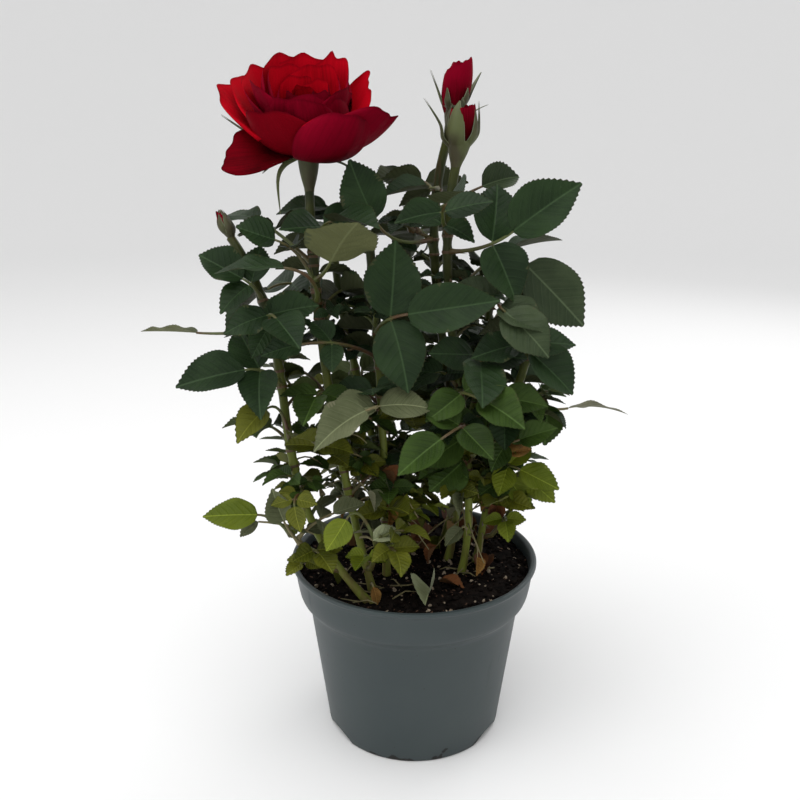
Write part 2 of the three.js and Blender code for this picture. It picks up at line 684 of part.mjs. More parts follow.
function buildBloom() {
  const tip = caneAt(canes.bloom, canes.bloom[3][2]);
  const hip = turned(HIP_PROFILE, HIP_SIDES);
  const heart = tip.clone().setZ(tip.z + HIP_HEIGHT);
  const pieces = [hip.translate(tip.toArray())];
  for (const petal of petals) pieces.push(petalSolid(petal, heart));
  SEPAL_DROOPS.forEach((droop, k) => {
    pieces.push(sepal(heart, SEPAL_HEADING + SEPAL_TURN * k, droop, SEPAL_LENGTH));
  });
  return fused(pieces, PETAL_SLIVER);
}

// ---- Closed buds: a hip, a calyx that grips the furled petals, and free sepal tips.

// Shares of the bud's radius and height, from the hip by its waist to the furled tip.
const BUD_PROFILE = [[0.55, 0.12], [0.5, 0.24], [1, 0.45], [0.92, 0.68], [0.5, 0.92], [0.2, 1], [0, 1]];
const BUD_WAIST = 0.26;
const BUD_FOOT_RADIUS = 1.8;

function buildBud(caneName, bud) {
  const cane = canes[caneName];
  const tip = caneAt(cane, cane[3][2]);
  const { height, radius } = bud;
  const profile = BUD_PROFILE.map(([out, up]) => [out * radius, up * height]);
  const shell = turned([[0, 0], [BUD_FOOT_RADIUS, 0], ...profile], BUD_SIDES);
  const waist = new THREE.Vector3(0, 0, BUD_WAIST * height);
  const pieces = [shell];
  for (let turn = 0; turn < 360; turn += SEPAL_TURN) {
    pieces.push(sepal(waist, bud.heading + turn, bud.sepalRise, bud.sepal));
  }
  const leaning = fused(pieces).warp((point) => {
    point[0] += bud.lean * point[2];
  });
  return leaning.translate(tip.toArray());
}

const buds = {
  front: { cane: 'front', height: 30, radius: 6.6, heading: -90, sepalRise: 58, sepal: 26, lean: 0 },
  back: { cane: 'back', height: 31, radius: 6, heading: 90, sepalRise: 66, sepal: 22, lean: 0.07 },
  left: { cane: 'left', height: 11, radius: 3, heading: 0, sepalRise: 72, sepal: 9, lean: -0.4 },
};

// ---- The whole plant. Solids that stand are kept with their boxes, and a leaf is grown only
// where a slightly swollen copy of it clears the other nodes and its blades clear its own mass.

const plastic = new THREE.MeshStandardMaterial({ color: 0x4a5254, roughness: 0.55, metalness: 0 });
const peat = new THREE.MeshStandardMaterial({ color: 0x1d1713, roughness: 1, metalness: 0 });
const bark = new THREE.MeshStandardMaterial({ color: 0x5a6b32, roughness: 0.6, metalness: 0 });
const petalRed = new THREE.MeshStandardMaterial({ color: 0xb00c1c, roughness: 0.6, metalness: 0 });

const standing = [];

function boxOf(solid) {
  const { min, max } = solid.boundingBox();
  return new THREE.Box3(new THREE.Vector3(...min), new THREE.Vector3(...max));
}

function stand(owner, solid, isLeaf = false) {
  standing.push({ owner, solid, isLeaf, box: boxOf(solid) });
}

function touches(solid, isRival) {
  const box = boxOf(solid);
  return standing.some((item) => {
    if (!isRival(item) || !item.box.intersectsBox(box)) return false;
    return !item.solid.intersect(solid).isEmpty();
  });
}

function tryLeaf(owner, mass, leaf) {
  const root = stemPoint(mass.stem, leaf.at);
  const whole = compoundLeaf(root, leaf, GAP);
  const beyondStem = compoundLeaf(root, leaf, 0, Math.min(STEM_CLEAR / leaf.reach, STEM_CLEAR_SHARE));
  if (boxOf(whole).min.z < CROWN_FLOOR) return null;
  if (touches(whole, (item) => item.owner !== owner)) return null;
  if (touches(beyondStem, (item) => item.owner === owner && item.isLeaf)) return null;
  const grown = compoundLeaf(root, leaf, 0);
  stand(owner, grown, true);
  return grown;
}

const pot = buildPot();
const soil = buildSoil();
addNode('pot', pot, plastic);
addNode('potting_soil', soil, peat);
stand('pot', pot);
stand('potting_soil', soil);

for (const [name, cane] of Object.entries(canes)) {
  const { from } = masses[name].stem;
  const solid = caneLength(cane, cane[0][2], from - GAP);
  addNode(`cane_${name}`, solid, bark);
  stand(`cane_${name}`, solid);
}

const bloom = buildBloom();
addNode('bloom', bloom, petalRed);
stand('bloom', bloom);
for (const [name, bud] of Object.entries(buds)) {
  const solid = buildBud(bud.cane, bud);
  addNode(`bud_${name}`, solid, petalRed);
  stand(`bud_${name}`, solid);
}

const grownMasses = {};
for (const [name, mass] of Object.entries(masses)) {
  const owner = `foliage_${name}`;
  const { stem } = mass;
  const solid = stem.cane ? caneLength(canes[stem.cane], stem.from, stem.to) : shootSolid(stem);
  stand(owner, solid);
  grownMasses[name] = [solid];
}
for (const order of ['chosen', 'spiral']) {
  for (const [name, mass] of Object.entries(masses)) {
    for (const leaf of leavesOf(mass)[order]) {
      const grown = tryLeaf(`foliage_${name}`, mass, leaf);
      if (grown) grownMasses[name].push(grown);
    }
  }
}
for (const [name, mass] of Object.entries(masses)) {
  const leafGreen = new THREE.MeshStandardMaterial({ color: mass.shade, roughness: 0.55, metalness: 0 });
  addNode(`foliage_${name}`, fused(grownMasses[name]), leafGreen);
}

const plant = new THREE.Group();
plant.name = 'rose_bush';
plant.add(...nodes);

export default plant;
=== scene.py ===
import math

import bpy
import numpy as np
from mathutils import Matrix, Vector, noise
from mathutils.kdtree import KDTree


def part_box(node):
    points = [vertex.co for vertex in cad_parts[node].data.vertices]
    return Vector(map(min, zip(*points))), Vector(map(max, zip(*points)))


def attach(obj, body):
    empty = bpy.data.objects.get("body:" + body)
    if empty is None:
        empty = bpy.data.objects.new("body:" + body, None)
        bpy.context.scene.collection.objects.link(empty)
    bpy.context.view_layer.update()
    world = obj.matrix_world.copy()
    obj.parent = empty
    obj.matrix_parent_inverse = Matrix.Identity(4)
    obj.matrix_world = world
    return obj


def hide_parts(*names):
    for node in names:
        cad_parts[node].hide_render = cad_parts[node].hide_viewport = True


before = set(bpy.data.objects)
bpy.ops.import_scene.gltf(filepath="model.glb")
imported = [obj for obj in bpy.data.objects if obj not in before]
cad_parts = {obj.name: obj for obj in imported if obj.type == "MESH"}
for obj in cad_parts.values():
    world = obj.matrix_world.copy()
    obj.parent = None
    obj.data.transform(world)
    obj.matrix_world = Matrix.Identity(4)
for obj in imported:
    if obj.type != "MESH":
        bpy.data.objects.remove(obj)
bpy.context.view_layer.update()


# ---- Nursery pot. One thin shell of grey injection-moulded plastic: a tapering wall, a rim band that
# flares out of it and a rolled lip. Four shallow arches are scooped out of the foot, the floor drains
# through six holes, and potting mix has smeared the foot.

MM = 0.001


class Tone:
    """A value on its way through a finish. Arithmetic on it becomes Math nodes."""

    def __init__(self, finish, socket):
        self.finish = finish
        self.socket = socket

    def math(self, operation, first, second=None):
        values = {0: first} if second is None else {0: first, 1: second}
        return self.finish.add("Math", {"operation": operation}, values)

    def __add__(self, other):
        return self.math("ADD", self, other)

    __radd__ = __add__

    def __mul__(self, other):
        return self.math("MULTIPLY", self, other)

    __rmul__ = __mul__

    def __sub__(self, other):
        return self.math("SUBTRACT", self, other)

    def __rsub__(self, other):
        return self.math("SUBTRACT", other, self)

    def __pow__(self, other):
        return self.math("POWER", self, other)

    def __abs__(self):
        return self.math("ABSOLUTE", self)

    def ramped(self, low, high):
        """0 at the low value, 1 at the high one, smooth between."""
        ends = {"Value": self, "From Min": low, "From Max": high}
        return self.finish.add("MapRange", {"interpolation_type": "SMOOTHSTEP"}, ends)


class Finish:
    """One finish: a material with a Principled shader, and the nodes that vary it."""

    def __init__(self, name, **fixed):
        self.material = bpy.data.materials.new(name)
        self.material.use_nodes = True
        self.tree = self.material.node_tree
        self.shader = self.tree.nodes["Principled BSDF"]
        for socket, value in fixed.items():
            self.shader.inputs[socket.replace("_", " ")].default_value = value

    def add(self, kind, settings, values, out=0):
        node = self.tree.nodes.new("ShaderNode" + kind)
        for setting, value in settings.items():
            setattr(node, setting, value)
        for socket, value in values.items():
            if isinstance(value, Tone):
                self.tree.links.new(value.socket, node.inputs[socket])
            else:
                node.inputs[socket].default_value = value
        return Tone(self, node.outputs[out])

    def place(self):
        return self.add("TexCoord", {}, {}, out=3)

    def axes(self, vector):
        return [self.add("SeparateXYZ", {}, {0: vector}, out=axis) for axis in range(3)]

    def grain(self, scale, detail=3.0, stretch=None):
        where = self.place()
        if stretch:
            where = self.add("VectorMath", {"operation": "MULTIPLY"}, {0: where, 1: stretch})
        return self.add("TexNoise", {}, {"Vector": where, "Scale": scale, "Detail": detail})

    def blend(self, share, first, second):
        return self.add("Mix", {"data_type": "RGBA"}, {0: share, 6: first, 7: second}, out=2)

    def paint(self, socket, tone):
        self.tree.links.new(tone.socket, self.shader.inputs[socket])

    def relief(self, height, distance, strength=1.0):
        bump = {"Height": height, "Distance": distance * MM, "Strength": strength}
        self.paint("Normal", self.add("Bump", {}, bump))


class Bench:
    """Mesh laid up in millimetres, then turned out as one piece."""

    def __init__(self):
        self.points = []
        self.faces = []
        self.finishes = []
        self.coords = []
        self.count = 0

    def lay(self, points, faces, finish=0, coords=None):
        points = np.asarray(points, dtype=float).reshape(-1, 3)
        start = self.count
        self.faces.extend([tuple(start + corner for corner in face) for face in faces])
        self.finishes.extend([finish] * len(faces))
        self.points.append(points)
        self.coords.append(np.zeros((len(points), 2)) if coords is None else np.asarray(coords))
        self.count += len(points)

    def turn_out(self, name, finishes, sharp=None):
        mesh = bpy.data.meshes.new(name)
        mesh.from_pydata((np.concatenate(self.points) * MM).tolist(), [], self.faces)
        for finish in finishes:
            mesh.materials.append(finish.material)
        mesh.polygons.foreach_set("material_index", self.finishes)
        mesh.polygons.foreach_set("use_smooth", [True] * len(self.faces))
        corners = np.empty(len(mesh.loops), dtype=np.int32)
        mesh.loops.foreach_get("vertex_index", corners)
        layer = mesh.uv_layers.new(name="surface")
        layer.data.foreach_set("uv", np.concatenate(self.coords)[corners].ravel())
        if sharp:
            mesh.set_sharp_from_angle(angle=math.radians(sharp))
        mesh.update()
        piece = bpy.data.objects.new(name, mesh)
        bpy.context.scene.collection.objects.link(piece)
        return piece


def grid_faces(rows, columns, closed=False, first=0):
    faces = []
    for row in range(rows - 1):
        for column in range(columns if closed else columns - 1):
            a = first + row * columns + column
            b = first + row * columns + (column + 1) % columns
            faces.append((a, b, b + columns, a + columns))
    return faces


def turned(bench, profile, sides):
    """A solid of revolution from (radius, height) pairs whose ends lie on the axis."""
    inner = profile[1:-1]
    angles = np.arange(sides) * 2 * math.pi / sides
    rings = [[(r * math.cos(a), r * math.sin(a), z) for a in angles] for r, z in inner]
    points = [(0, 0, profile[0][1]), (0, 0, profile[-1][1])] + [p for ring in rings for p in ring]
    faces = grid_faces(len(inner), sides, closed=True, first=2)
    last = 2 + (len(inner) - 1) * sides
    for side in range(sides):
        after = (side + 1) % sides
        faces.append((0, 2 + after, 2 + side))
        faces.append((1, last + side, last + after))
    bench.lay(points, faces)


def carve(body, tool):
    """Cuts the tool's shape out of the body; the tool is used up."""
    cut = body.modifiers.new("cut", "BOOLEAN")
    cut.operation = "DIFFERENCE"
    cut.solver = "EXACT"
    cut.object = tool
    settled = bpy.context.evaluated_depsgraph_get()
    mesh = bpy.data.meshes.new_from_object(body.evaluated_get(settled))
    body.modifiers.clear()
    body.data = mesh
    bpy.data.objects.remove(tool)


POT_HEIGHT = 88
POT_WALL = 1.6
LIP_RADIUS = 60
BAND_TOP_RADIUS = 58.8
BAND_FOOT_RADIUS = 56.4
BAND_FOOT_Z = 67.5
WALL_TOP_RADIUS = 52.2
BASE_RADIUS = 43.4
POT_SIDES = 144
SCOOP_RADIUS = 17
SCOOP_DROP = 13
SCOOP_INNER_END = 37
SCOOP_LENGTH = 14
SCOOP_HEADINGS = (33, 147, 213, 327)
DRAIN_RADIUS = 3.5
DRAIN_RING = 20
DRAIN_HOLES = 6
DRAIN_CUT_FOOT, DRAIN_CUT_LENGTH = -2, 6
FOOT_ROUND = 0.6


def band_radius(z):
    share = (z - BAND_FOOT_Z) / (POT_HEIGHT - BAND_FOOT_Z)
    return BAND_FOOT_RADIUS + (BAND_TOP_RADIUS - BAND_FOOT_RADIUS) * share


def wall_radius(z):
    return BASE_RADIUS + (WALL_TOP_RADIUS - BASE_RADIUS) * z / BAND_FOOT_Z


# The flare from wall to band, and the lip, as (radius, height).
FLARE = [
    (51.7, 62.6), (51.95, 64.6), (52.5, 66.4), (53.6, 67.9),
    (54.9, 69.0), (55.9, 70.2), (56.5, 71.8), (56.95, 74),
]
LIP = [
    (58.5, 84.6), (58.9, 85.4), (59.6, 85.9), (LIP_RADIUS, 86.6), (LIP_RADIUS, 87.2),
    (59.7, 87.8), (59.1, POT_HEIGHT), (58.3, 87.9), (57.6, 87.5),
]
outside = [(0, 0), (BASE_RADIUS - 2.6, 0), (BASE_RADIUS - FOOT_ROUND, 0)]
outside += [(BASE_RADIUS - 0.1, 0.3), (wall_radius(1), 1)]
outside += [(wall_radius(z), z) for z in np.linspace(4, 60, 15)]
outside += FLARE + [(band_radius(z), z) for z in (77, 80, 83)] + LIP + [(0, 87.4)]
inside = [(0, POT_WALL), (wall_radius(POT_WALL) - POT_WALL, POT_WALL), (WALL_TOP_RADIUS - POT_WALL, 66)]
inside += [(53.6, 69), (54.6, 71), (55.2, 73), (56.2, 80), (57.1, 86.8), (57.6, 87.5), (57.6, 90), (0, 90)]


def blank(name, profile, sides=POT_SIDES):
    bench = Bench()
    turned(bench, profile, sides)
    return bench.turn_out(name, [])


def bar(name, radius, length, reach, heading, height, level):
    """A round cutter at a reach and heading: upright, or laid level along the radius."""
    cutter = blank(name, [(0, 0), (radius, 0), (radius, length), (0, length)], 64)
    heading = math.radians(heading)
    if level:
        cutter.rotation_euler = (0, math.pi / 2, heading)
    cutter.location = (reach * math.cos(heading) * MM, reach * math.sin(heading) * MM, height * MM)
    bpy.context.view_layer.update()
    return cutter


pot = blank("nursery_pot", outside)
core = blank("pot_core", inside)
# The core's scoops are wider by the wall, so that the shell keeps its thickness round each arch.
for heading in SCOOP_HEADINGS:
    for body, spare in ((pot, 0), (core, POT_WALL)):
        length, inner_end = SCOOP_LENGTH + 2 * spare, SCOOP_INNER_END - spare
        carve(body, bar("scoop", SCOOP_RADIUS + spare, length, inner_end, heading, -SCOOP_DROP, True))
carve(pot, core)
for hole in range(DRAIN_HOLES):
    heading = 360 / DRAIN_HOLES * (hole + 0.5)
    carve(pot, bar("drain", DRAIN_RADIUS, DRAIN_CUT_LENGTH, DRAIN_RING, heading, DRAIN_CUT_FOOT, False))

plastic = Finish("grey_pot_plastic", Roughness=0.46, Specular_IOR_Level=0.42)
_, _, height = plastic.axes(plastic.place())
cloudy = plastic.grain(22, 4.0).ramped(0.3, 0.75)
scuffed = plastic.grain(140, 5.0, (1, 1, 0.25)).ramped(0.6, 0.78)
specks = plastic.grain(380, 1.0).ramped(0.79, 0.81)
muddy = plastic.grain(120, 5.0)
mud = (muddy - height * 34).ramped(0.45, 0.5)
shell_grey = plastic.blend(cloudy, (0.028, 0.041, 0.043, 1), (0.037, 0.051, 0.052, 1))
shell_grey = plastic.blend(scuffed * 0.3, shell_grey, (0.055, 0.068, 0.068, 1))
shell_grey = plastic.blend(specks * 0.8, shell_grey, (0.012, 0.01, 0.008, 1))
plastic.paint("Base Color", plastic.blend(mud * 0.92, shell_grey, (0.009, 0.008, 0.006, 1)))
plastic.paint("Roughness", 0.44 + cloudy * 0.08 + scuffed * 0.15 + mud * 0.3)
plastic.relief(plastic.grain(900, 2.0) * 0.12 + plastic.grain(60, 2.0) + mud * 0.8, 0.25, 0.5)
pot.data.materials.clear()
pot.data.materials.append(plastic.material)
pot.data.polygons.foreach_set("use_smooth", [True] * len(pot.data.polygons))
pot.data.set_sharp_from_angle(angle=math.radians(32))
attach(pot, "root")
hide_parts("pot")


# ---- Potting mix. Near-black peat, lumpy and a little lower towards the wall, with crumbs of peat,
# pale grains of perlite and slivers of bark lying in it.

SOIL_LEVEL = 82.6
SOIL_RADIUS = 56.6
STREWN_RADIUS = 55.6
BED_RINGS, BED_SPOKES = 60, 180


class Draw:
    """The plant's own random numbers: the same seed always grows the same piece."""

    def __init__(self, seed):
        self.state = seed

    def __call__(self, low=0.0, high=1.0):
        self.state = self.state * 48271 % 2147483647
        return low + (high - low) * self.state / 2147483647


def soil_height(x, y):
    spot = Vector((x, y, 0))
    edge = math.hypot(x, y) / SOIL_RADIUS
    lumps = 1.3 * noise.noise(spot * 0.09) + 0.7 * noise.noise(spot * 0.27) + 0.45 * noise.noise(spot * 0.8)
    return SOIL_LEVEL + 0.8 - 1.6 * edge**4 + lumps


peat = Finish("peat", Roughness=0.95, Specular_IOR_Level=0.08)
clods = peat.grain(260, 5.0)
damp = peat.blend(clods.ramped(0.35, 0.7), (0.003, 0.002, 0.0016, 1), (0.011, 0.0075, 0.006, 1))
peat.paint("Base Color", damp)
peat.relief(clods + peat.grain(900, 2.0) * 0.5, 0.9)
perlite = Finish("perlite", Roughness=0.85)
perlite.paint("Base Color", perlite.blend(perlite.grain(500), (0.12, 0.085, 0.055, 1), (0.45, 0.37, 0.27, 1)))
perlite.relief(perlite.grain(1800, 2.0), 0.2)
chips = Finish("bark_chips", Roughness=0.8)
chips.paint("Base Color", chips.blend(chips.grain(260), (0.03, 0.014, 0.008, 1), (0.13, 0.06, 0.03, 1)))

bed = Bench()
points = []
for ring in range(BED_RINGS):
    radius = SOIL_RADIUS * (ring + 0.5) / (BED_RINGS - 0.5)
    for angle in np.arange(BED_SPOKES) * 2 * math.pi / BED_SPOKES:
        x, y = radius * math.cos(angle), radius * math.sin(angle)
        points.append((x, y, soil_height(x, y)))
bed.lay(points, grid_faces(BED_RINGS, BED_SPOKES, closed=True) + [tuple(range(BED_SPOKES))])

GOLD = (1 + 5**0.5) / 2
SIGNS = [(s, t) for s in (1, -1) for t in (1, -1)]
BALL = [(0, s, t * GOLD) for s, t in SIGNS] + [(s, t * GOLD, 0) for s, t in SIGNS]
BALL = np.array(BALL + [(t * GOLD, 0, s) for s, t in SIGNS]) / math.hypot(1, GOLD)


def ball_faces():
    """The twenty faces of the small ball that crumbs and grains are pinched from."""
    faces = []
    for a in range(12):
        for b in range(a + 1, 12):
            for c in range(b + 1, 12):
                sides = [np.linalg.norm(BALL[i] - BALL[j]) for i, j in ((a, b), (b, c), (c, a))]
                if max(sides) < 1.1:
                    out = np.dot(np.cross(BALL[b] - BALL[a], BALL[c] - BALL[a]), BALL[a]) > 0
                    faces.append((a, b, c) if out else (a, c, b))
    return faces


BALL_FACES = ball_faces()


def scatter(bench, draw, count, sizes, flatness, finish, sunk=0.3):
    """Crumbs strewn over the mix: pinched balls, each with its own size, turn and place."""
    for _ in range(count):
        angle, reach = draw(0, 2 * math.pi), STREWN_RADIUS * math.sqrt(draw())
        size = draw(*sizes) * (0.55 + 0.45 * draw() ** 2)
        turn, lean, long = draw(0, 2 * math.pi), draw(-0.5, 0.5), draw(1, flatness[1])
        pinch = np.array([1 + 0.5 * (draw() - 0.5) for _ in range(12)])[:, None]
        shape = BALL * pinch * np.array([size * long, size, size * flatness[0]])
        c, s = math.cos(lean), math.sin(lean)
        shape = shape @ np.array([[c, 0, s], [0, 1, 0], [-s, 0, c]])
        c, s = math.cos(turn), math.sin(turn)
        shape = shape @ np.array([[c, s, 0], [-s, c, 0], [0, 0, 1]])
        x, y = reach * math.cos(angle), reach * math.sin(angle)
        z = soil_height(x, y) + size * (1 - sunk) * flatness[0]
        bench.lay(shape + [x, y, z], BALL_FACES, finish)


# Crumbs, perlite and bark: how many, their sizes, (flatness, length), finish and how deep they sink.
strew = Draw(4021)
scatter(bed, strew, 1700, (0.5, 1.8), (0.75, 1.5), 0)
scatter(bed, strew, 190, (0.3, 1.5), (0.8, 1.3), 1)
scatter(bed, strew, 620, (0.25, 0.75), (0.4, 3.6), 2, 0.1)
mix_bed = bed.turn_out("potting_mix", [peat, perlite, chips], sharp=50)
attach(mix_bed, "root")
packed_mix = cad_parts["potting_soil"]
packed_mix.data.materials.clear()
packed_mix.data.materials.append(peat.material)


# ---- Canes. Eight woody stems lean outward from two clumps in the mix. Each is a smooth curve
# through four points, and tapers from a flared foot to its flower or topmost leaf.

CANE_FOOT_RADIUS = 3
CANE_RADIUS = 2.3
CANE_TIP_RADIUS = 1.7
CANE_FLARE = 9
CANES = {
    "bloom": [(-19, -31, 83.3), (-33, -22, 145), (-42, -14, 204), (-46, -5, 262)],
    "left": [(-21, -40, 83.3), (-46, -31, 118), (-59, -20, 178), (-81, -5, 241)],
    "middle": [(-13, -15, 83.3), (-14, -14, 130), (-16, -10, 185), (-20, -8, 238)],
    "front": [(23, -12, 83.3), (24, -10, 145), (15, -8, 215), (17, -8, 272)],
    "back": [(17, 2, 83.3), (20, 6, 145), (10, 8, 215), (15, 9, 287)],
    "right": [(31, 0, 83.3), (38, -2, 130), (46, -6, 170), (58, -10, 212)],
    "rear_left": [(-12, 20, 83.3), (-20, 28, 130), (-32, 36, 180), (-40, 40, 228)],
    "rear_right": [(16, 24, 83.3), (26, 32, 130), (34, 40, 175), (40, 46, 225)],
}


def between(first, last, share):
    return first + (last - first) * share


def cane_at(cane, z):
    """The cane's centre at a height: the cubic through its four points."""
    centre = Vector((0, 0, z))
    for i, (x, y, knot) in enumerate(cane):
        weight = 1
        for j, other in enumerate(cane):
            if j != i:
                weight *= (z - other[2]) / (knot - other[2])
        centre.x += weight * x
        centre.y += weight * y
    return centre


def cane_radius(cane, z):
    foot, tip = cane[0][2], cane[3][2]
    flare = max(0, 1 - (z - foot) / CANE_FLARE)
    taper = between(CANE_RADIUS, CANE_TIP_RADIUS, (z - foot) / (tip - foot))
    return taper + (CANE_FOOT_RADIUS - CANE_RADIUS) * flare


# ---- How the leaves stand. Every mass of foliage has one stem: the leafy top of a cane or a low side
# shoot. Chosen leaves come first, then leaves that spiral up by a seeded rule; only those that the
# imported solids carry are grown.

FRONT = -90
GOLDEN_ANGLE = 137.5
LOW_LEAF = 0.6
BARE_FOOT, BARE_TIP = 4, 22
HEADING_SPREAD, TURN_SPREAD = 40, 50
RISE_RANGE, DROOP_RANGE, FACE_RANGE = (12, 42), (8, 48), (20, 55)
SINGLE_PAIR_SHARE = 0.35
PETIOLE_REACH = (0.5, 0.9, 1.35)
PETIOLE_BEND = 0.45
SHOOT_RADIUS = 1.4
SHOOT_GAP = 0.3
LEAF_BEND = 0.12


def leaf_row(at, heading, rise, reach, turn, tip, blade, face, pairs, tint="deep", stunted=1.0, slim=1.0):
    """A leaf: its place on the stem, its stalk's way and reach, its end leaflet's way and length.

    The heading that its face tips towards, its lean, is the front unless it is set afterwards.
    """
    return dict(at=at, heading=heading, rise=rise, reach=reach, turn=turn, tip=tip, blade=blade,
                face=face, pairs=pairs, tint=tint, lean=FRONT, stunted=stunted, slim=slim)


MASSES = {
    "bloom": dict(
        stem=dict(cane="bloom", start=122, end=261.7),
        seed=761, count=30, heading=40, blade=(22, 31), leaves=[
            leaf_row(224, -69, 22, 29, -69, 33, 40, -40, 0, "pale"),
            leaf_row(236, 75, 45, 25, -175, 7, 24, 25, 1),
            leaf_row(220, -147, 50, 29, -159, 18, 24, 50, 0, "deep", 0.72, 1.35),
            leaf_row(214, -112, 34, 33, -167, 7, 29, 12, 0),
            leaf_row(158, -63, 28, 38, -147, -13, 28, 35, 1, "dusty"),
        ]),
    "left": dict(
        stem=dict(cane="left", start=118, end=240.7),
        seed=723, count=30, heading=-10, blade=(18, 27), leaves=[
            leaf_row(215, -141, 48, 14, 180, 29, 23, 45, 1),
            leaf_row(203, 172, -5, 35, 169, 2, 28, -12, 0, "pale", 1, 0.8),
            leaf_row(178, -130, 29, 23, -159, -5, 30, 40, 1),
            leaf_row(150, -133, 59, 25, -132, -23, 20, 45, 0, "olive"),
        ]),
    "middle": dict(
        stem=dict(cane="middle", start=106, end=238),
        seed=986, count=32, heading=-60, blade=(22, 31), leaves=[
            leaf_row(200, -59, 25, 30, -18, 11, 40, 68, 1, "deep", 1, 0.78),
            leaf_row(188, -138, 17, 44, -154, -5, 18, 45, 1),
        ]),
    "front": dict(
        stem=dict(cane="front", start=112, end=271.7),
        seed=41, count=30, heading=20, blade=(20, 30), leaves=[
            leaf_row(236, -28, 18, 32, -9, 39, 34, 60, 1),
            leaf_row(165, -81, 22, 39, -37, -14, 24, 50, 1, "fresh"),
            leaf_row(150, -107, 18, 46, -150, -27, 24, 45, 1, "fresh"),
        ]),
    "back": dict(
        stem=dict(cane="back", start=106, end=286.7),
        seed=485, count=32, heading=-70, blade=(22, 30), leaves=[
            leaf_row(240, -139, 17, 36, -159, 62, 27, 78, 0),
            # This leaf's lighter, greyer green is painted sheen.
            leaf_row(252, -23, 27, 25, 15, 21, 20, 60, 0, "painted_sheen"),
            leaf_row(262, -112, 3, 11, -162, -4, 22, 20, 0),
        ]),
    "right": dict(
        stem=dict(cane="right", start=108, end=212),
        seed=808, count=30, heading=80, blade=(20, 29), leaves=[
            # The next two leaves are lighter and greyer with painted sheen.
            leaf_row(210, -148, 61, 24, -8, -43, 39, 50, 0, "painted_sheen"),
            leaf_row(204, -126, 18, 32, -38, -30, 27, 50, 1, "painted_sheen"),
            leaf_row(192, -98, 11, 26, -17, -37, 28, 45, 1),
            leaf_row(165, -106, 23, 28, -25, 2, 21, 55, 0, "fresh"),
            leaf_row(150, -80, 15, 27, -25, 28, 18, 50, 1, "fresh"),
            leaf_row(172, 14, -20, 28, 0, 12, 29, -25, 0, "dusty"),
            leaf_row(163, -9, 11, 17, -95, -70, 20, 70, 0, "fresh"),
            leaf_row(130, -61, 24, 23, -28, -17, 20, 45, 1, "lime"),
        ]),
    "rear_left": dict(
        stem=dict(cane="rear_left", start=106, end=228),
        seed=563, count=36, heading=-160, blade=(22, 32), leaves=[]),
    "rear_right": dict(
        stem=dict(cane="rear_right", start=106, end=225),
        seed=215, count=36, heading=30, blade=(22, 32), leaves=[]),
    "low_left": dict(
        stem=dict(beside="left", at=96, heading=-170, rise=48, length=26),
        seed=70, count=9, heading=110, blade=(12, 18), leaves=[
            leaf_row(1, -172, 36, 18, -170, 5, 24, 35, 0, "lime"),
            leaf_row(0.8, -132, 58, 16, -137, 69, 17, 60, 0, "dusty"),
        ]),
    "low_front": dict(
        stem=dict(beside="bloom", at=94, heading=-60, rise=66, length=24),
        seed=579, count=9, heading=120, blade=(12, 17), leaves=[
            leaf_row(0.7, -134, 46, 26, -126, -41, 16, 60, 0, "lime"),
        ]),
    "low_right": dict(
        stem=dict(beside="right", at=96, heading=-20, rise=58, length=24),
        seed=511, count=10, heading=70, blade=(13, 19), leaves=[
            leaf_row(1, -55, 63, 17, -38, -27, 17, 50, 0, "lime"),
        ]),
    "low_rear": dict(
        stem=dict(beside="rear_left", at=96, heading=95, rise=60, length=26),
        seed=95, count=10, heading=-110, blade=(13, 19), leaves=[]),
}


def compass(heading, rise):
    """The direction at a compass heading and a rise above the level, in degrees."""
    heading, rise = math.radians(heading), math.radians(rise)
    level = math.cos(rise)
    return Vector((level * math.cos(heading), level * math.sin(heading), math.sin(rise)))


def shoot_at(stem, share):
    """A side shoot's straight stem, which starts clear of its cane."""
    cane = CANES[stem["beside"]]
    upright = math.radians(90 - stem["rise"])
    clear = cane_radius(cane, stem["at"]) + SHOOT_GAP + SHOOT_RADIUS / math.cos(upright)
    start = cane_at(cane, stem["at"]) + compass(stem["heading"], 0) * clear
    return start + compass(stem["heading"], stem["rise"]) * share * stem["length"]


def stem_point(stem, place):
    return cane_at(CANES[stem["cane"]], place) if "cane" in stem else shoot_at(stem, place)


def leaves_of(mass):
    """The mass's leaves, chosen ones first, by the same draws as its solid."""
    draw = Draw(mass["seed"])
    stem = mass["stem"]
    low, high = (stem["start"] + BARE_FOOT, stem["end"] - BARE_TIP) if "cane" in stem else (0.25, 1)
    rows = [dict(row) for row in mass["leaves"]]
    for k in range(mass["count"]):
        share = (k + 0.5) / mass["count"]
        vigour = between(LOW_LEAF, 1, min(1, 1.6 * share))
        heading = mass["heading"] + GOLDEN_ANGLE * k + HEADING_SPREAD * (draw() - 0.5)
        rise = draw(*RISE_RANGE)
        blade = vigour * draw(*mass["blade"])
        droop = draw(*DROOP_RANGE)
        pairs = 1 if draw() < SINGLE_PAIR_SHARE else 2
        reach = blade * PETIOLE_REACH[pairs] * (0.9 + 0.2 * draw())
        turn = heading + TURN_SPREAD * (draw() - 0.5)
        place, face = between(low, high, share), draw(*FACE_RANGE)
        row = leaf_row(place, heading, rise, reach, turn, rise - droop, blade, face, pairs, None)
        rows.append(dict(row, lean=heading))
    return rows


def curved(start, bend, end, t):
    """A point on the curve that leaves the start towards the bend and comes to the end."""
    return start * (1 - t) ** 2 + bend * (2 * t * (1 - t)) + end * t * t


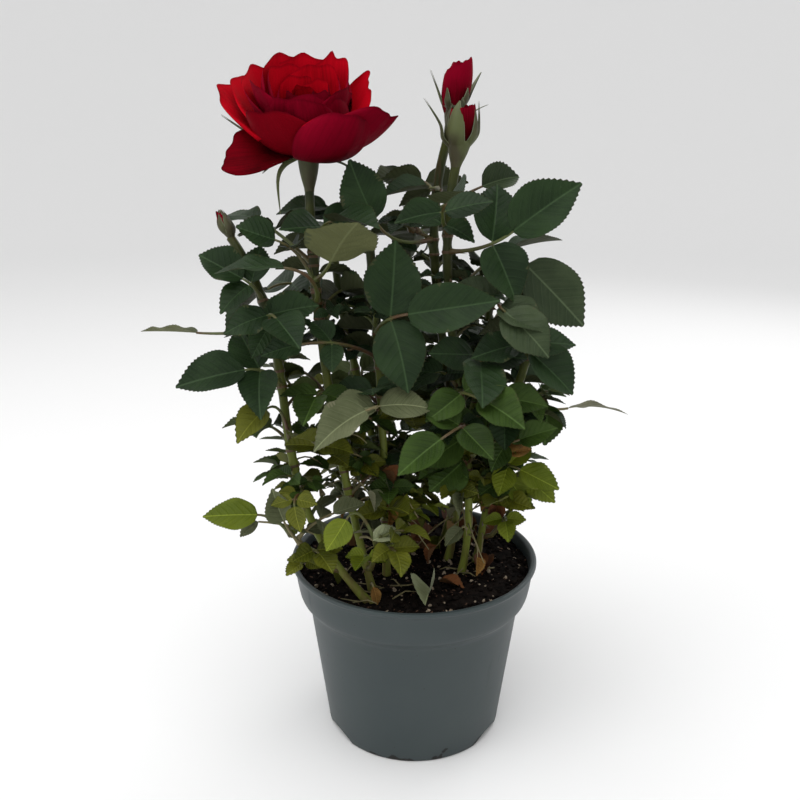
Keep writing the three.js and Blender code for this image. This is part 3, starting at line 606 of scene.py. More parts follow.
class Petiole:
    """A leaf stalk: one bend from the stem to the end leaflet."""

    def __init__(self, root, row):
        self.root = root
        self.end = root + compass(row["heading"], row["rise"]) * row["reach"]
        self.bend = self.end - compass(row["turn"], row["tip"]) * PETIOLE_BEND * row["reach"]

    def at(self, t):
        return curved(self.root, self.bend, self.end, t)

    def along(self, t):
        return ((self.bend - self.root) * (1 - t) + (self.end - self.bend) * t).normalized()


def leaf_tip(root, row):
    """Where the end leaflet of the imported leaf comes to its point."""
    direction = compass(row["turn"], row["tip"])
    facing = compass(row["lean"], 90 - row["face"])
    above = direction.cross(facing).normalized().cross(direction)
    return Petiole(root, row).end + direction * row["blade"] - above * LEAF_BEND * row["blade"]


SAME_PLACE = 0.25
grown = {}
for name, mass in MASSES.items():
    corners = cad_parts["foliage_" + name].data.vertices
    packed = KDTree(len(corners))
    for i, corner in enumerate(corners):
        packed.insert(corner.co / MM, i)
    packed.balance()
    kept = []
    for row in leaves_of(mass):
        root = stem_point(mass["stem"], row["at"])
        if packed.find(leaf_tip(root, row))[2] < SAME_PLACE:
            kept.append(dict(row, root=root))
    grown[name] = kept
print("leaves carried by the packed solids:", {name: len(kept) for name, kept in grown.items()})


# ---- Cane skins. Green bark, browner and ridged at the foot, runs as one tube from under the mix to
# the flower or topmost leaf. It swells at every leaf joint, where a collar blushes red, and short
# hooked prickles stand on it.

def tube(bench, centres, radii, sides, finish=0, ribs=0.0):
    """A round skin along a line of centres, closed at both ends, with low ribs if asked for."""
    centres = [Vector(centre) for centre in centres]
    across = Vector((1, 0, 0))
    points = []
    coords = []
    for ring, centre in enumerate(centres):
        along = (centres[min(ring + 1, len(centres) - 1)] - centres[max(ring - 1, 0)]).normalized()
        if ring == 0 and abs(along.x) > 0.8:
            across = Vector((0, 1, 0))
        across = (across - along * across.dot(along)).normalized()
        square = along.cross(across)
        for side in range(sides):
            turn = 2 * math.pi * side / sides
            way = across * math.cos(turn) + square * math.sin(turn)
            radius = radii[ring]
            if ribs:
                spot = Vector((3 * math.cos(turn), 3 * math.sin(turn), centre.z * 0.12))
                radius *= 1 + ribs * noise.noise(spot)
            points.append(centre + way * radius)
            coords.append((side / sides, ring / len(centres)))
    last = len(points) - sides
    ends = [tuple(range(sides))[::-1], tuple(range(last, last + sides))]
    bench.lay([tuple(p) for p in points], grid_faces(len(centres), sides, closed=True) + ends, finish, coords)


def prickle(bench, root, out, up, size, finish):
    """A small hooked thorn on an oval foot."""
    side = out.cross(up).normalized()
    points = []
    for turn in range(6):
        a = turn * math.pi / 3
        points.append(root + side * math.cos(a) * size * 0.22 + up * math.sin(a) * size * 0.5)
    for turn in range(6):
        a = turn * math.pi / 3
        middle = root + out * size * 0.5 - up * size * 0.06
        points.append(middle + side * math.cos(a) * size * 0.1 + up * math.sin(a) * size * 0.2)
    points.append(root + out * size - up * size * 0.3)
    faces = grid_faces(2, 6, closed=True) + [(6 + i, 6 + (i + 1) % 6, 12) for i in range(6)]
    bench.lay([tuple(p) for p in points], faces, finish)


def girth(cane, z):
    """Slimmer than its solid at the foot, stouter under the flower."""
    return between(0.74, 1.2, min(1, max(0, (z - cane[0][2]) / (cane[3][2] - cane[0][2]))))


bark = Finish("cane_bark", Roughness=0.5, Specular_IOR_Level=0.25)
_, _, height = bark.axes(bark.place())
streaks = bark.grain(230, 4.0, (1, 1, 0.1))
aged = (1 - (height + streaks * 0.03).ramped(0.096, 0.135))
young = bark.blend(bark.grain(60).ramped(0.35, 0.7), (0.018, 0.026, 0.003, 1), (0.045, 0.052, 0.006, 1))
green = bark.blend((height + streaks * 0.05).ramped(0.15, 0.24), (0.14, 0.17, 0.022, 1), young)
green = bark.blend(streaks.ramped(0.56, 0.7) * 0.6, green, (0.05, 0.028, 0.008, 1))
bark.paint("Base Color", bark.blend(aged * streaks.ramped(0.4, 0.62) * 0.8, green, (0.11, 0.075, 0.03, 1)))
bark.paint("Roughness", 0.45 + aged * 0.3)
bark.relief(streaks + bark.grain(1200, 2.0, (1, 1, 0.3)) * 0.3, 0.35, 0.7)
blush = Finish("blushed_joint", Roughness=0.45)
blush.paint("Base Color", blush.blend(blush.grain(300), (0.07, 0.018, 0.007, 1), (0.075, 0.055, 0.012, 1)))

FLOWERING = ("bloom", "front", "back", "left")
SKIN_SIDES, SKIN_STEP = 14, 1.6
BURIED = 2.5
JOINT_SWELL, JOINT_SPREAD = 0.45, 1.7
THORNS = 13
COLLAR_STEPS = (-1.3, -0.6, 0.1, 0.8)
COLLAR_GROWTH = (0.05, 0.52, 0.55, 0.1)

thorns = Draw(907)
for name, cane in CANES.items():
    joints = sorted(row["at"] for row in grown[name])
    foot, tip = cane[0][2], cane[3][2] + (0.6 if name in FLOWERING else 1.5)
    steps = int((tip - foot + BURIED) / SKIN_STEP)
    heights = [between(foot - BURIED, tip, step / steps) for step in range(steps + 1)]
    centres, radii = [], []
    for z in heights:
        swell = max([0.0] + [JOINT_SWELL * math.exp(-(((z - at) / JOINT_SPREAD) ** 2)) for at in joints])
        rough = 0.1 * noise.noise(Vector((z * 0.16, len(name) * 7.3, 0)))
        centres.append(cane_at(cane, z))
        radii.append(cane_radius(cane, max(z, foot)) * girth(cane, z) + swell + rough)
    if name not in FLOWERING:
        radii[-1], radii[-2] = 0.3, 1.0
    skin = Bench()
    tube(skin, centres, radii, SKIN_SIDES, 0, ribs=0.1)
    for at in joints:
        collar = [cane_at(cane, at + step) for step in COLLAR_STEPS]
        thick = cane_radius(cane, at) * girth(cane, at)
        tube(skin, collar, [thick + grow for grow in COLLAR_GROWTH], SKIN_SIDES, 1, ribs=0.06)
    for _ in range(THORNS):
        z, heading = thorns(foot + CANE_FLARE, cane[3][2] - BARE_TIP), thorns(0, 360)
        size = thorns(1.5, 3.0)
        out, up = compass(heading, 0), (cane_at(cane, z + 1) - cane_at(cane, z)).normalized()
        prickle(skin, cane_at(cane, z) + out * cane_radius(cane, z) * 0.85, out, up, size, 1)
    piece = skin.turn_out("cane_" + name + "_bark", [bark, blush], sharp=60)
    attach(piece, "root")
    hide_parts("cane_" + name)


# ---- Leaves. A rose leaf is a stalk with winged foot and one, three or five leaflets: thin blades
# with a toothed edge, folded a little along a pale midrib, dark and dull above, paler beneath.
# Upper sprays are deep green, and a few upper leaves are lighter and greyer where sheen is painted into their
# colour; lower ones are fresher, olive or yellowing, and a few have dried.

# The leaf colours: above as (dark, light, roughness), beneath as the light colour alone.
UPPER = {
    "deep": ((0.0065, 0.018, 0.0045), (0.018, 0.04, 0.011), 0.5),
    "fresh": ((0.016, 0.034, 0.004), (0.042, 0.079, 0.012), 0.5),
    # Painted sheen: a lighter, greyer green that paints the overhead light's sheen into the upper face of
    # some leaves.
    "painted_sheen": ((0.02, 0.034, 0.013), (0.046, 0.066, 0.029), 0.5),
    "olive": ((0.045, 0.055, 0.003), (0.125, 0.135, 0.012), 0.5),
    "lime": ((0.07, 0.1, 0.003), (0.14, 0.175, 0.012), 0.55),
    "pale": ((0.06, 0.07, 0.033), (0.1, 0.11, 0.055), 0.6),
    "dusty": ((0.075, 0.088, 0.04), (0.14, 0.155, 0.08), 0.75),
    "mint": ((0.2, 0.23, 0.12), (0.38, 0.41, 0.25), 0.8),
    "amber": ((0.1, 0.045, 0.008), (0.27, 0.15, 0.04), 0.7),
    "dry": ((0.045, 0.014, 0.005), (0.16, 0.06, 0.02), 0.75),
}
UNDER = {
    "deep": (0.05, 0.06, 0.024),
    "fresh": (0.055, 0.075, 0.02),
    # The plain underside of the leaves whose upper face has painted sheen.
    "painted_sheen": (0.06, 0.07, 0.035),
    "olive": (0.09, 0.1, 0.014),
    "lime": (0.15, 0.18, 0.026),
    "pale": (0.125, 0.135, 0.055),
    "dusty": (0.17, 0.17, 0.1),
    "mint": (0.34, 0.36, 0.24),
    "amber": (0.24, 0.15, 0.06),
    "dry": (0.14, 0.07, 0.03),
}
UNDER_SHADE, UNDER_ROUGHNESS = 0.8, 0.65
TINTS = list(UPPER)


def blade_finish(name, dark, light, roughness, beneath):
    """Blade skin: a pale midrib, side veins that sweep forward, and a blotchy body colour."""
    skin = Finish(name, Roughness=roughness, Specular_IOR_Level=0.17)
    across, along, _ = skin.axes(skin.add("UVMap", {"uv_map": "surface"}, {}))
    aside = abs(across * 2 - 1)
    sweep = (along - aside ** 1.2 * 0.34 + skin.grain(60, 1.0) * 0.05) * 7
    lane = abs(skin.add("Math", {"operation": "FRACT"}, {0: sweep}) * 2 - 1)
    fade = 1 - aside.ramped(0.55, 0.95)
    vein = lane.ramped(0.86, 1.0) * fade
    midrib = 1 - aside.ramped(0.012, 0.05)
    own = skin.add("NewGeometry", {}, {}, out=8)
    blotches = skin.grain(75, 4.0).ramped(0.3, 0.72)
    body = (blotches * 0.45 + own * 0.4 + lane * fade * -0.24 + 0.16).ramped(0.0, 0.95)
    colour = skin.blend(body, (*dark, 1), (*light, 1))
    pale = tuple(min(1.0, value * (1.2 if beneath else 1.9) + 0.012) for value in light)
    colour = skin.blend(vein * (0.3 if beneath else 0.22), colour, (*pale, 1))
    skin.paint("Base Color", skin.blend(midrib * (0.7 if beneath else 0.6), colour, (*pale, 1)))
    skin.paint("Roughness", roughness - 0.06 + skin.grain(220, 3.0) * 0.14)
    where = skin.place()
    net = skin.add("TexVoronoi", {"feature": "DISTANCE_TO_EDGE"}, {"Vector": where, "Scale": 820.0})
    puffed = (1 - lane ** 2) * fade * 0.55 + net.ramped(0.0, 0.25) * 0.16 - midrib * 0.5
    skin.relief(puffed * (-1 if beneath else 1) + skin.grain(150, 2.0) * 0.5, 0.36, 0.75)
    return skin


LEAF_FINISHES = [blade_finish("leaf_" + tint, *UPPER[tint], False) for tint in TINTS]
for tint, under in UNDER.items():
    shaded = tuple(value * UNDER_SHADE for value in under)
    LEAF_FINISHES.append(blade_finish("leaf_" + tint + "_beneath", shaded, under, UNDER_ROUGHNESS, True))

stalks = Finish("leaf_stalk", Roughness=0.5)
reddened = stalks.grain(70).ramped(0.4, 0.68)
stalks.paint("Base Color", stalks.blend(reddened, (0.08, 0.1, 0.022, 1), (0.085, 0.042, 0.016, 1)))
straw = Finish("dry_stalk", Roughness=0.8)
straw.paint("Base Color", straw.blend(straw.grain(200), (0.11, 0.09, 0.035, 1), (0.25, 0.22, 0.11, 1)))


class BladePattern:
    """A leaflet's outline as points along its midrib, across to its edge, and out to its teeth."""

    COLUMNS = (0.0, 0.36, 0.72, 1.0)

    def __init__(self, teeth):
        along, across, faces = [], [], []
        columns = len(self.COLUMNS)
        for side in (-1, 1):
            start = len(along)
            for row in range(teeth + 1):
                x = row / teeth
                width = self.half_width(x)
                for column in self.COLUMNS:
                    along.append(x)
                    across.append(side * column * width)
            tips = len(along)
            for row in range(teeth):
                x = (row + 0.5) / teeth
                tooth = 0.68 / teeth * min(1, 0.3 + 4 * x, 6 * (1.04 - x))
                along.append(x + 0.34 / teeth)
                across.append(side * (self.half_width(x) + tooth))
            for row in range(teeth):
                a, b = start + row * columns, start + (row + 1) * columns
                made = [(a + c, a + c + 1, b + c + 1, b + c) for c in range(columns - 1)]
                made.append((a + columns - 1, tips + row, b + columns - 1))
                faces += made if side < 0 else [face[::-1] for face in made]
        self.along, self.across = np.array(along), np.array(across)
        rim = [self.half_width(x) * 0.99 for x in along]
        self.apart = np.array([0.0 if abs(y) > edge else 1.0 for y, edge in zip(across, rim)])
        self.faces = faces
        self.beneath = [face[::-1] for face in faces]

    @staticmethod
    def half_width(x):
        return max(0.015, math.sin(math.pi * max(0.0, min(1.0, x)) ** 0.8) ** (0.6 + 0.42 * x))


PATTERNS = {teeth: BladePattern(teeth) for teeth in (9, 13, 19)}
LEAF_WIDTH = 0.7
SHEET = 0.16


def lay_blade(bench, base, direction, facing, length, tint, draw, fold=None, bend=None, curl=0.0, slim=1.0):
    """One leaflet: an upper and a lower skin, folded, arched, rippled and slightly skewed."""
    side = direction.cross(facing).normalized()
    above = side.cross(direction)
    pattern = PATTERNS[19 if length > 22 else 13 if length > 13 else 9]
    fold = draw(0.04, 0.34) if fold is None else fold
    bend = draw(0.04, 0.3) if bend is None else bend
    ripple, waves, phase = draw(0.01, 0.045), draw(1.2, 2.6), draw()
    skew, twist = draw(-0.1, 0.1), draw(-0.6, 0.6)
    x, y = pattern.along, pattern.across
    half = 0.5 * LEAF_WIDTH * length * slim * draw(0.94, 1.08)
    spread = np.abs(y)
    wave = np.sin(2 * np.pi * (waves * x + phase + 0.4 * (y > 0)))
    lift = fold * spread * LEAF_WIDTH - bend * x**2 + ripple * spread**2 * wave
    lift = lift + twist * 0.12 * x * y - curl * (spread**2) * 0.25
    run = x * (1 - 0.25 * bend * x)
    aside = y * half * (1 - 0.12 * fold * spread) + skew * length * x**2
    points = np.array(base)[None, :] + np.outer(run * length, direction) + np.outer(aside, side)
    points = points + np.outer(lift * length, above)
    coords = np.stack([0.5 + 0.5 * y, x], axis=1)
    step = np.outer(pattern.apart, above) * SHEET / 2
    upper = TINTS.index(tint)
    bench.lay(points + step, pattern.faces, upper, coords)
    bench.lay(points - step, pattern.beneath, upper + len(TINTS), coords)


PAIR_PLACES = (0.64, 0.26)
PAIR_SCALES = (0.82, 0.66)
PAIR_SPREAD = math.radians(76)


def wing(bench, foot, along, out, length, finish):
    """One ear of the winged foot: a narrow green strip that ends in a free point."""
    steps = 5
    points = []
    for step in range(steps + 1):
        t = step / steps
        width = 1.15 * (1 - t) ** 0.6 * (0.5 + t) + 0.25 * t
        middle = foot + along * length * t + out * (0.35 + 0.9 * t * t)
        points += [middle, middle + out * width * (1 - t * 0.9)]
    bench.lay([tuple(p) for p in points], grid_faces(steps + 1, 2), finish)


def grow_leaf(blades, twigs, row, tint, draw, stem_radius):
    """A whole leaf: stalk, winged foot, paired leaflets and the end leaflet."""
    petiole = Petiole(row["root"], row)
    facing = compass(row["lean"], 90 - row["face"])
    dry = 1 if tint in ("dry", "dusty") else 0
    places = [step / 10 for step in range(11)]
    thick = 0.75 + 0.012 * row["blade"]
    flares = [max(0, 1 - t * row["reach"] / (stem_radius + 2.5)) for t in places]
    radii = [thick * (between(0.95, 0.5, t) + 0.75 * flare) for t, flare in zip(places, flares)]
    tube(twigs, [petiole.at(t) for t in places], radii, 6, dry)
    clear = min(0.5, stem_radius / row["reach"])
    if row["reach"] > 16:
        along = petiole.along(clear)
        across = along.cross(facing).normalized()
        length = min(9, 0.3 * row["reach"])
        for hand in (-1, 1):
            wing(twigs, petiole.at(clear) + facing * 0.2, along, across * hand, length, dry)
    for t, scale in list(zip(PAIR_PLACES, PAIR_SCALES))[:row["pairs"]]:
        along, start, length = petiole.along(t), petiole.at(t), row["blade"] * scale
        across = along.cross(facing).normalized()
        for hand in (-1, 1):
            spread = PAIR_SPREAD + draw(-0.16, 0.1)
            direction = (along * math.cos(spread) + across * hand * math.sin(spread)).normalized()
            tube(twigs, [start, start + direction * 1.5], [0.45, 0.35], 5, dry)
            lay_blade(blades, start + direction * 0.9, direction, facing, length, tint, draw)
    direction, length = compass(row["turn"], row["tip"]), row["blade"] * row["stunted"]
    start = petiole.end - direction * 0.4
    lay_blade(blades, start, direction, facing, length, tint, draw, slim=row["slim"])


# Leaf colours by height: above each height, every colour with the draw that it goes up to.
TINT_BANDS = [
    (175, [("deep", 0.92), ("fresh", 1)]),
    (148, [("deep", 0.45), ("fresh", 0.95), ("olive", 1)]),
    (120, [("fresh", 0.55), ("olive", 0.93), ("deep", 1)]),
    (0, [("olive", 0.42), ("lime", 0.86), ("fresh", 0.92), ("dusty", 1)]),
]


def tint_at(z, draw):
    """Which plain leaf colour a spray gets: deep green high up, yellowing towards the pot."""
    pick = draw()
    shares = next(shares for foot, shares in TINT_BANDS if z > foot)
    return next(tint for tint, top in shares if pick < top)


SPRAY_STEP = 6
SMALL_BELOW, DENSE_BELOW = 135, 132
BARE_ABOVE, BARE_TOP = 135, 36
LOWEST_TIP = 92


def side_sprays(name, mass, draw):
    """Short twigs with a few small leaves each, that fill the mass and stay in its space."""
    if "beside" in mass["stem"]:
        return []
    low, high = (Vector(corner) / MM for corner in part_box("foliage_" + name))
    stem = mass["stem"]
    places = [(row["at"], row["heading"]) for row in grown[name]]
    for k in range(int((stem["end"] - stem["start"]) / SPRAY_STEP)):
        places.append((stem["start"] + 2 + SPRAY_STEP * k, mass["heading"] + 60 + GOLDEN_ANGLE * k))
    sprays = []
    for at, heading in places:
        heading, chance, length, rise = heading + draw(-50, 50), draw(), draw(7, 19), draw(20, 60)
        start = stem_point(stem, at)
        twig_end = start + compass(heading, rise) * length
        leaves = []
        for k, place in enumerate((0.6, 0.85, 1.0)):
            blade = draw(8, 16) * (0.8 if start.z < SMALL_BELOW else 1)
            pairs = 1 if draw() < 0.7 else 2
            aim, up = heading + (k - 1) * 75 + draw(-25, 25), draw(0, 40)
            reach, turn, tip = blade * PETIOLE_REACH[pairs] * 0.9, aim + draw(-25, 25), up - draw(5, 40)
            face, slim = draw(*FACE_RANGE), draw(0.85, 1.1)
            leaf = leaf_row(at, aim, up, reach, turn, tip, blade, face, pairs, None, 1.0, slim)
            leaf.update(root=between(start, twig_end, place), lean=aim)
            end = leaf_tip(leaf["root"], leaf)
            if all(low[i] < end[i] < high[i] for i in range(3)) and end.z > LOWEST_TIP:
                leaves.append(leaf)
        in_front = math.cos(math.radians(heading - FRONT)) > 0.3
        bared = in_front and name in ("bloom", "left") and at > BARE_ABOVE
        wanted = chance < (0.75 if start.z < DENSE_BELOW else 0.42)
        if wanted and leaves and at < stem["end"] - BARE_TOP and not bared:
            sprays.append((start, twig_end, leaves))
    return sprays


WITHERED_STALKS = 9
WITHERED_REACH = 46


def withered_stalks(twigs, blades, mass, draw):
    """Thin straw-coloured stalks that have lost their leaves and hang from the lower cane."""
    stem = mass["stem"]
    for _ in range(WITHERED_STALKS):
        start = stem_point(stem, stem["start"] + draw(-12, 34))
        heading, reach, drop = draw(0, 360), draw(8, 22), draw(4, 26)
        middle = start + compass(heading, draw(0, 40)) * reach * 0.55
        end = middle + compass(heading + draw(-40, 40), -50) * drop
        end.z = max(end.z, 88)
        if math.hypot(end.x, end.y) > WITHERED_REACH:
            continue
        path = [curved(start, middle, end, t) for t in (0, 0.2, 0.4, 0.6, 0.8, 1)]
        tube(twigs, path, [0.5, 0.42, 0.4, 0.36, 0.3, 0.2], 5, 1)
        if draw() < 0.45:
            way, length = (path[-1] - path[-2]).normalized(), draw(6, 11)
            tint = ("dry", "amber", "dusty", "olive")[int(draw(0, 3.99))]
            fold, bend = draw(0.5, 1.0), draw(0.1, 0.5)
            lay_blade(blades, end, way, compass(heading, 30), length, tint, draw, fold, bend, slim=0.8)


# Single leaves low on the canes, as (from, to, how far the face tips up, colour, slimness, crumpling).
LOWER = {
    "right": [
        ((45, -12, 129), (67, -10, 127), 55, "lime", 1.15, 0),
        ((43, -14, 133), (55, -20, 119), 40, "lime", 0.8, 0.3),
        ((43, -16, 136), (29, -24, 127), 45, "fresh", 1.25, 0),
        ((37, -22, 151), (53, -21, 155), 30, "amber", 0.9, 1),
        ((43, -20, 147), (53, -22, 150), 30, "amber", 0.8, 1),
        ((41, -6, 119), (37, -7, 105), 20, "dry", 0.9, 1),
    ],
    "front": [
        ((21, -24, 155), (3, -31, 146), 50, "fresh", 1.15, 0),
        ((22, -20, 143), (7, -28, 131), 45, "fresh", 1.25, 0),
        ((22, -22, 111), (14, -29, 106), 60, "pale", 0.9, 0.5),
    ],
    "bloom": [
        ((-18, -42, 114), (-4, -36, 118), 50, "mint", 0.8, 0.8),
        ((-18, -43, 92), (-15, -45, 83.5), 50, "amber", 0.75, 0.3),
        ((-20, -26, 128), (-12, -30, 120), 40, "olive", 1.0, 0.5),
    ],
    "left": [
        ((-51, -30, 121), (-56, -36, 112), 40, "olive", 0.7, 0.3),
        ((-70, -32, 118), (-79, -36, 112), 45, "pale", 0.8, 0.6),
    ],
}


def lay_lower(blades, twigs, stem, row, draw):
    """One such leaf on a thin stalk that starts at its cane."""
    start, tip, face, tint, slim, crumple = row
    start, tip = Vector(start), Vector(tip)
    foot = stem_point(stem, max(start.z - 6, 86))
    bow = between(foot, start, 0.55) + Vector((0, 0, 2.5))
    withered = 0 if tint in ("lime", "fresh", "olive") else 1
    places = [step / 6 for step in range(7)]
    path = [curved(foot, bow, start, t) for t in places]
    tube(twigs, path, [between(0.75, 0.42, t) for t in places], 6, withered)
    way, length = (tip - start).normalized(), (tip - start).length
    fold, bend = 0.08 + 0.6 * crumple, 0.1 + 0.35 * crumple
    lay_blade(blades, start, way, compass(FRONT, face), length, tint, draw, fold, bend, crumple, slim)


for number, (name, mass) in enumerate(MASSES.items()):
    draw = Draw(3001 + 97 * number)
    blades, twigs = Bench(), Bench()
    stem = mass["stem"]
    for row in grown[name]:
        tint = row["tint"] or tint_at(row["root"].z, draw)
        radius = cane_radius(CANES[stem["cane"]], row["at"]) if "cane" in stem else SHOOT_RADIUS
        grow_leaf(blades, twigs, row, tint, draw, radius)
    for start, end, leaves in side_sprays(name, mass, draw):
        tube(twigs, [between(start, end, t) for t in (0, 0.35, 0.7, 1)], [1.1, 0.85, 0.7, 0.5], 6, 0)
        tint = tint_at(start.z, draw)
        for leaf in leaves:
            grow_leaf(blades, twigs, leaf, tint, draw, 0.8)
    for row in LOWER.get(name, []):
        lay_lower(blades, twigs, stem, row, draw)
    if "cane" in stem:
        withered_stalks(twigs, blades, mass, draw)
    else:
        base = cane_at(CANES[stem["beside"]], stem["at"])
        centres = [base] + [shoot_at(stem, share) for share in (0.1, 0.4, 0.7, 1.02)]
        tube(twigs, centres, [1.3, 1.25, 1.1, 0.95, 0.5], 8, 0)
    for bench, kind, finishes in ((blades, "leaves", LEAF_FINISHES), (twigs, "stalks", [stalks, straw])):
        piece = bench.turn_out(kind + "_" + name, finishes)
        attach(piece, "root")
        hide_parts("foliage_" + name)


# ---- Open bloom. A green hip carries five thin sepals and some thirty velvety red petals: a tight
# whorl at the heart, low in front and higher behind, then broad outer petals with soft, rolled rims.

PETAL_START = 2
PETAL_CUP = 5
PETAL_ROWS, PETAL_COLUMNS = 24, 28
PETAL_THICKNESS = 0.36
WHORL = 13
HIP_HEIGHT = 14


def petal(heading, root, rim, length, width, **shape):
    """A petal by its heading, its tilt from upright at root and rim, its size, and what shapes it."""
    usual = dict(twist=0, curl=1.5, ruffle=0.9, dip=0.04, point=0.03, rounded=0.2, skew=0.0, aged=False)
    return dict(usual, heading=heading, root=root, rim=rim, length=length, width=width, **shape)


# The two low outer petals that hang down on the left take a darker finish on both skins, which paints shade
# into their colour.
PETALS = [
    petal(-43, 122, 6, 38, 40, curl=1.0, ruffle=1.3, dip=0.16, point=0.05),
    petal(-170, 81, 97, 32, 25, twist=62, curl=0.4, ruffle=1.0, dip=0.02, rounded=0, skew=0.09, aged=True),
    petal(164, 62, 46, 49, 37, twist=20, curl=0.8, ruffle=0.8, dip=0, point=0, rounded=0.3, skew=-0.1),
    petal(154, 58, 32, 48, 46, twist=14, curl=1.0, ruffle=0.6, dip=0, point=0, rounded=0.35),
    petal(-12, 94, 36, 41, 40, twist=16, curl=0.8, ruffle=1.0, dip=0.1, point=0.1),
    petal(50, 78, 50, 38, 40, curl=2.2, ruffle=1.2),
    petal(115, 74, 36, 42, 44, curl=1.8, ruffle=1.2),
    petal(98, 50, -6, 46, 54, curl=1.0, ruffle=0.8, dip=0.01),
    petal(24, 61, 22, 39, 25, twist=-50, curl=0.8, ruffle=0.9, dip=0, point=0.06, rounded=0.05, skew=0.1),
    petal(146, 56, 12, 45.5, 54, twist=10, curl=1.2, ruffle=0.8, dip=0),
    petal(122, 48, -4, 46, 46, curl=1.0, ruffle=0.7, dip=0, point=0.02),
    petal(58, 46, -4, 46, 36, curl=1.2, ruffle=0.8, point=0.07),
    petal(-60, 76, -8, 31, 44, curl=1.0, ruffle=0.6, dip=0.12, point=0),
    petal(-132, 96, 16, 32, 38, curl=1.0, ruffle=1.2, dip=0.06, point=0.03, aged=True),
    petal(-98, 78, 4, 31, 40, curl=0.8, ruffle=0.6, dip=0.06, point=0),
    petal(-20, 60, 2, 33, 34, curl=1.2, ruffle=0.6, point=0),
    petal(-156, 62, 8, 38, 40, twist=10, curl=1.2, ruffle=0.7, point=0.02),
    petal(130, 44, -6, 42, 42, curl=1.0, ruffle=0.6, point=0),
    petal(80, 40, -10, 41, 38, curl=0.8, ruffle=0.6, point=0),
]


def petal_grid(shape, draw):
    """Points of a petal from its root to its rim, and edge to edge."""
    rows, columns = np.linspace(0, 1, PETAL_ROWS + 1), np.linspace(-1, 1, PETAL_COLUMNS + 1)
    u, v = np.meshgrid(rows, columns, indexing="ij")
    slow, phase, second, tip, lean = draw(0.4, 0.75), draw(), draw(), draw(-0.4, 0.4), draw(-0.5, 0.5)
    tilt = shape["root"] + (shape["rim"] - shape["root"]) * 0.5 * u
    tilt = np.radians(tilt - 0.18 * max(0, shape["root"] - 60) * v**2)
    outline = 1 - shape["rounded"] * v**2 * u + shape["skew"] * v * u - 0.16 * v**8 * u
    outline = outline - shape["dip"] * np.exp(-(((v - 0.1) / 0.5) ** 2)) * u**2
    outline = outline + shape["point"] * np.exp(-(((v - tip) / 0.14) ** 2)) * u**6
    outline = outline + 0.014 * np.sin(2 * np.pi * (1.4 * v + second)) * u**3
    run = shape["length"] * u * outline
    roll = np.clip((u - 0.72) / 0.28, 0, 1) ** 2 * (0.4 + 0.6 * np.abs(v))
    flutter = 0.28 * u**3 * np.sin(2 * np.pi * (2.7 * slow * v + second))
    wave = shape["ruffle"] * u**2.5 * (np.sin(2 * np.pi * (slow * v + phase)) + flutter)
    crease = 0.95 * np.sin(2 * np.pi * (1.6 * v + second)) * u * (1 - u) * 1.6
    out = PETAL_START + run * np.sin(tilt) + shape["curl"] * 1.3 * roll + 0.9 * wave + crease
    height = run * np.cos(tilt) - shape["curl"] * roll + wave * 0.2 + lean * v * u * 2
    aside = v * 0.5 * shape["width"] * np.sin(np.pi * (0.07 + 0.63 * u))
    twist = np.radians(shape["twist"]) * u
    radius = np.maximum(out + PETAL_CUP, 0.8)
    wrap = aside * np.cos(twist) / radius
    x, y, z = radius * np.cos(wrap) - PETAL_CUP, radius * np.sin(wrap), height - aside * np.sin(twist)
    c, s = math.cos(math.radians(shape["heading"])), math.sin(math.radians(shape["heading"]))
    return np.stack([x * c - y * s, x * s + y * c, z], axis=-1), np.stack([(v + 1) / 2, u], axis=-1)


def lay_skins(bench, points, coords, thickness, inner, outer):
    """Two skins a little apart that meet along the rim and both edges."""
    rows, columns = points.shape[:2]
    normal = np.cross(np.gradient(points, axis=0), np.gradient(points, axis=1))
    normal = normal / (np.linalg.norm(normal, axis=-1, keepdims=True) + 1e-9)
    u, v = coords[..., 1:], coords[..., :1] * 2 - 1
    apart = normal * thickness / 2 * (1 - np.maximum(u**14, np.abs(v) ** 14))
    faces, flat = grid_faces(rows, columns), coords.reshape(-1, 2)
    bench.lay((points - apart).reshape(-1, 3), [face[::-1] for face in faces], outer, flat)
    bench.lay((points + apart).reshape(-1, 3), faces, inner, flat)


def lay_petal(bench, shape, heart, draw):
    points, coords = petal_grid(shape, draw)
    # A petal that hangs low in shadow takes the darker finish on both skins: painted shade.
    inner, outer = (2, 2) if shape["aged"] else (0, 1)
    lay_skins(bench, points + np.array(heart), coords, PETAL_THICKNESS, inner, outer)


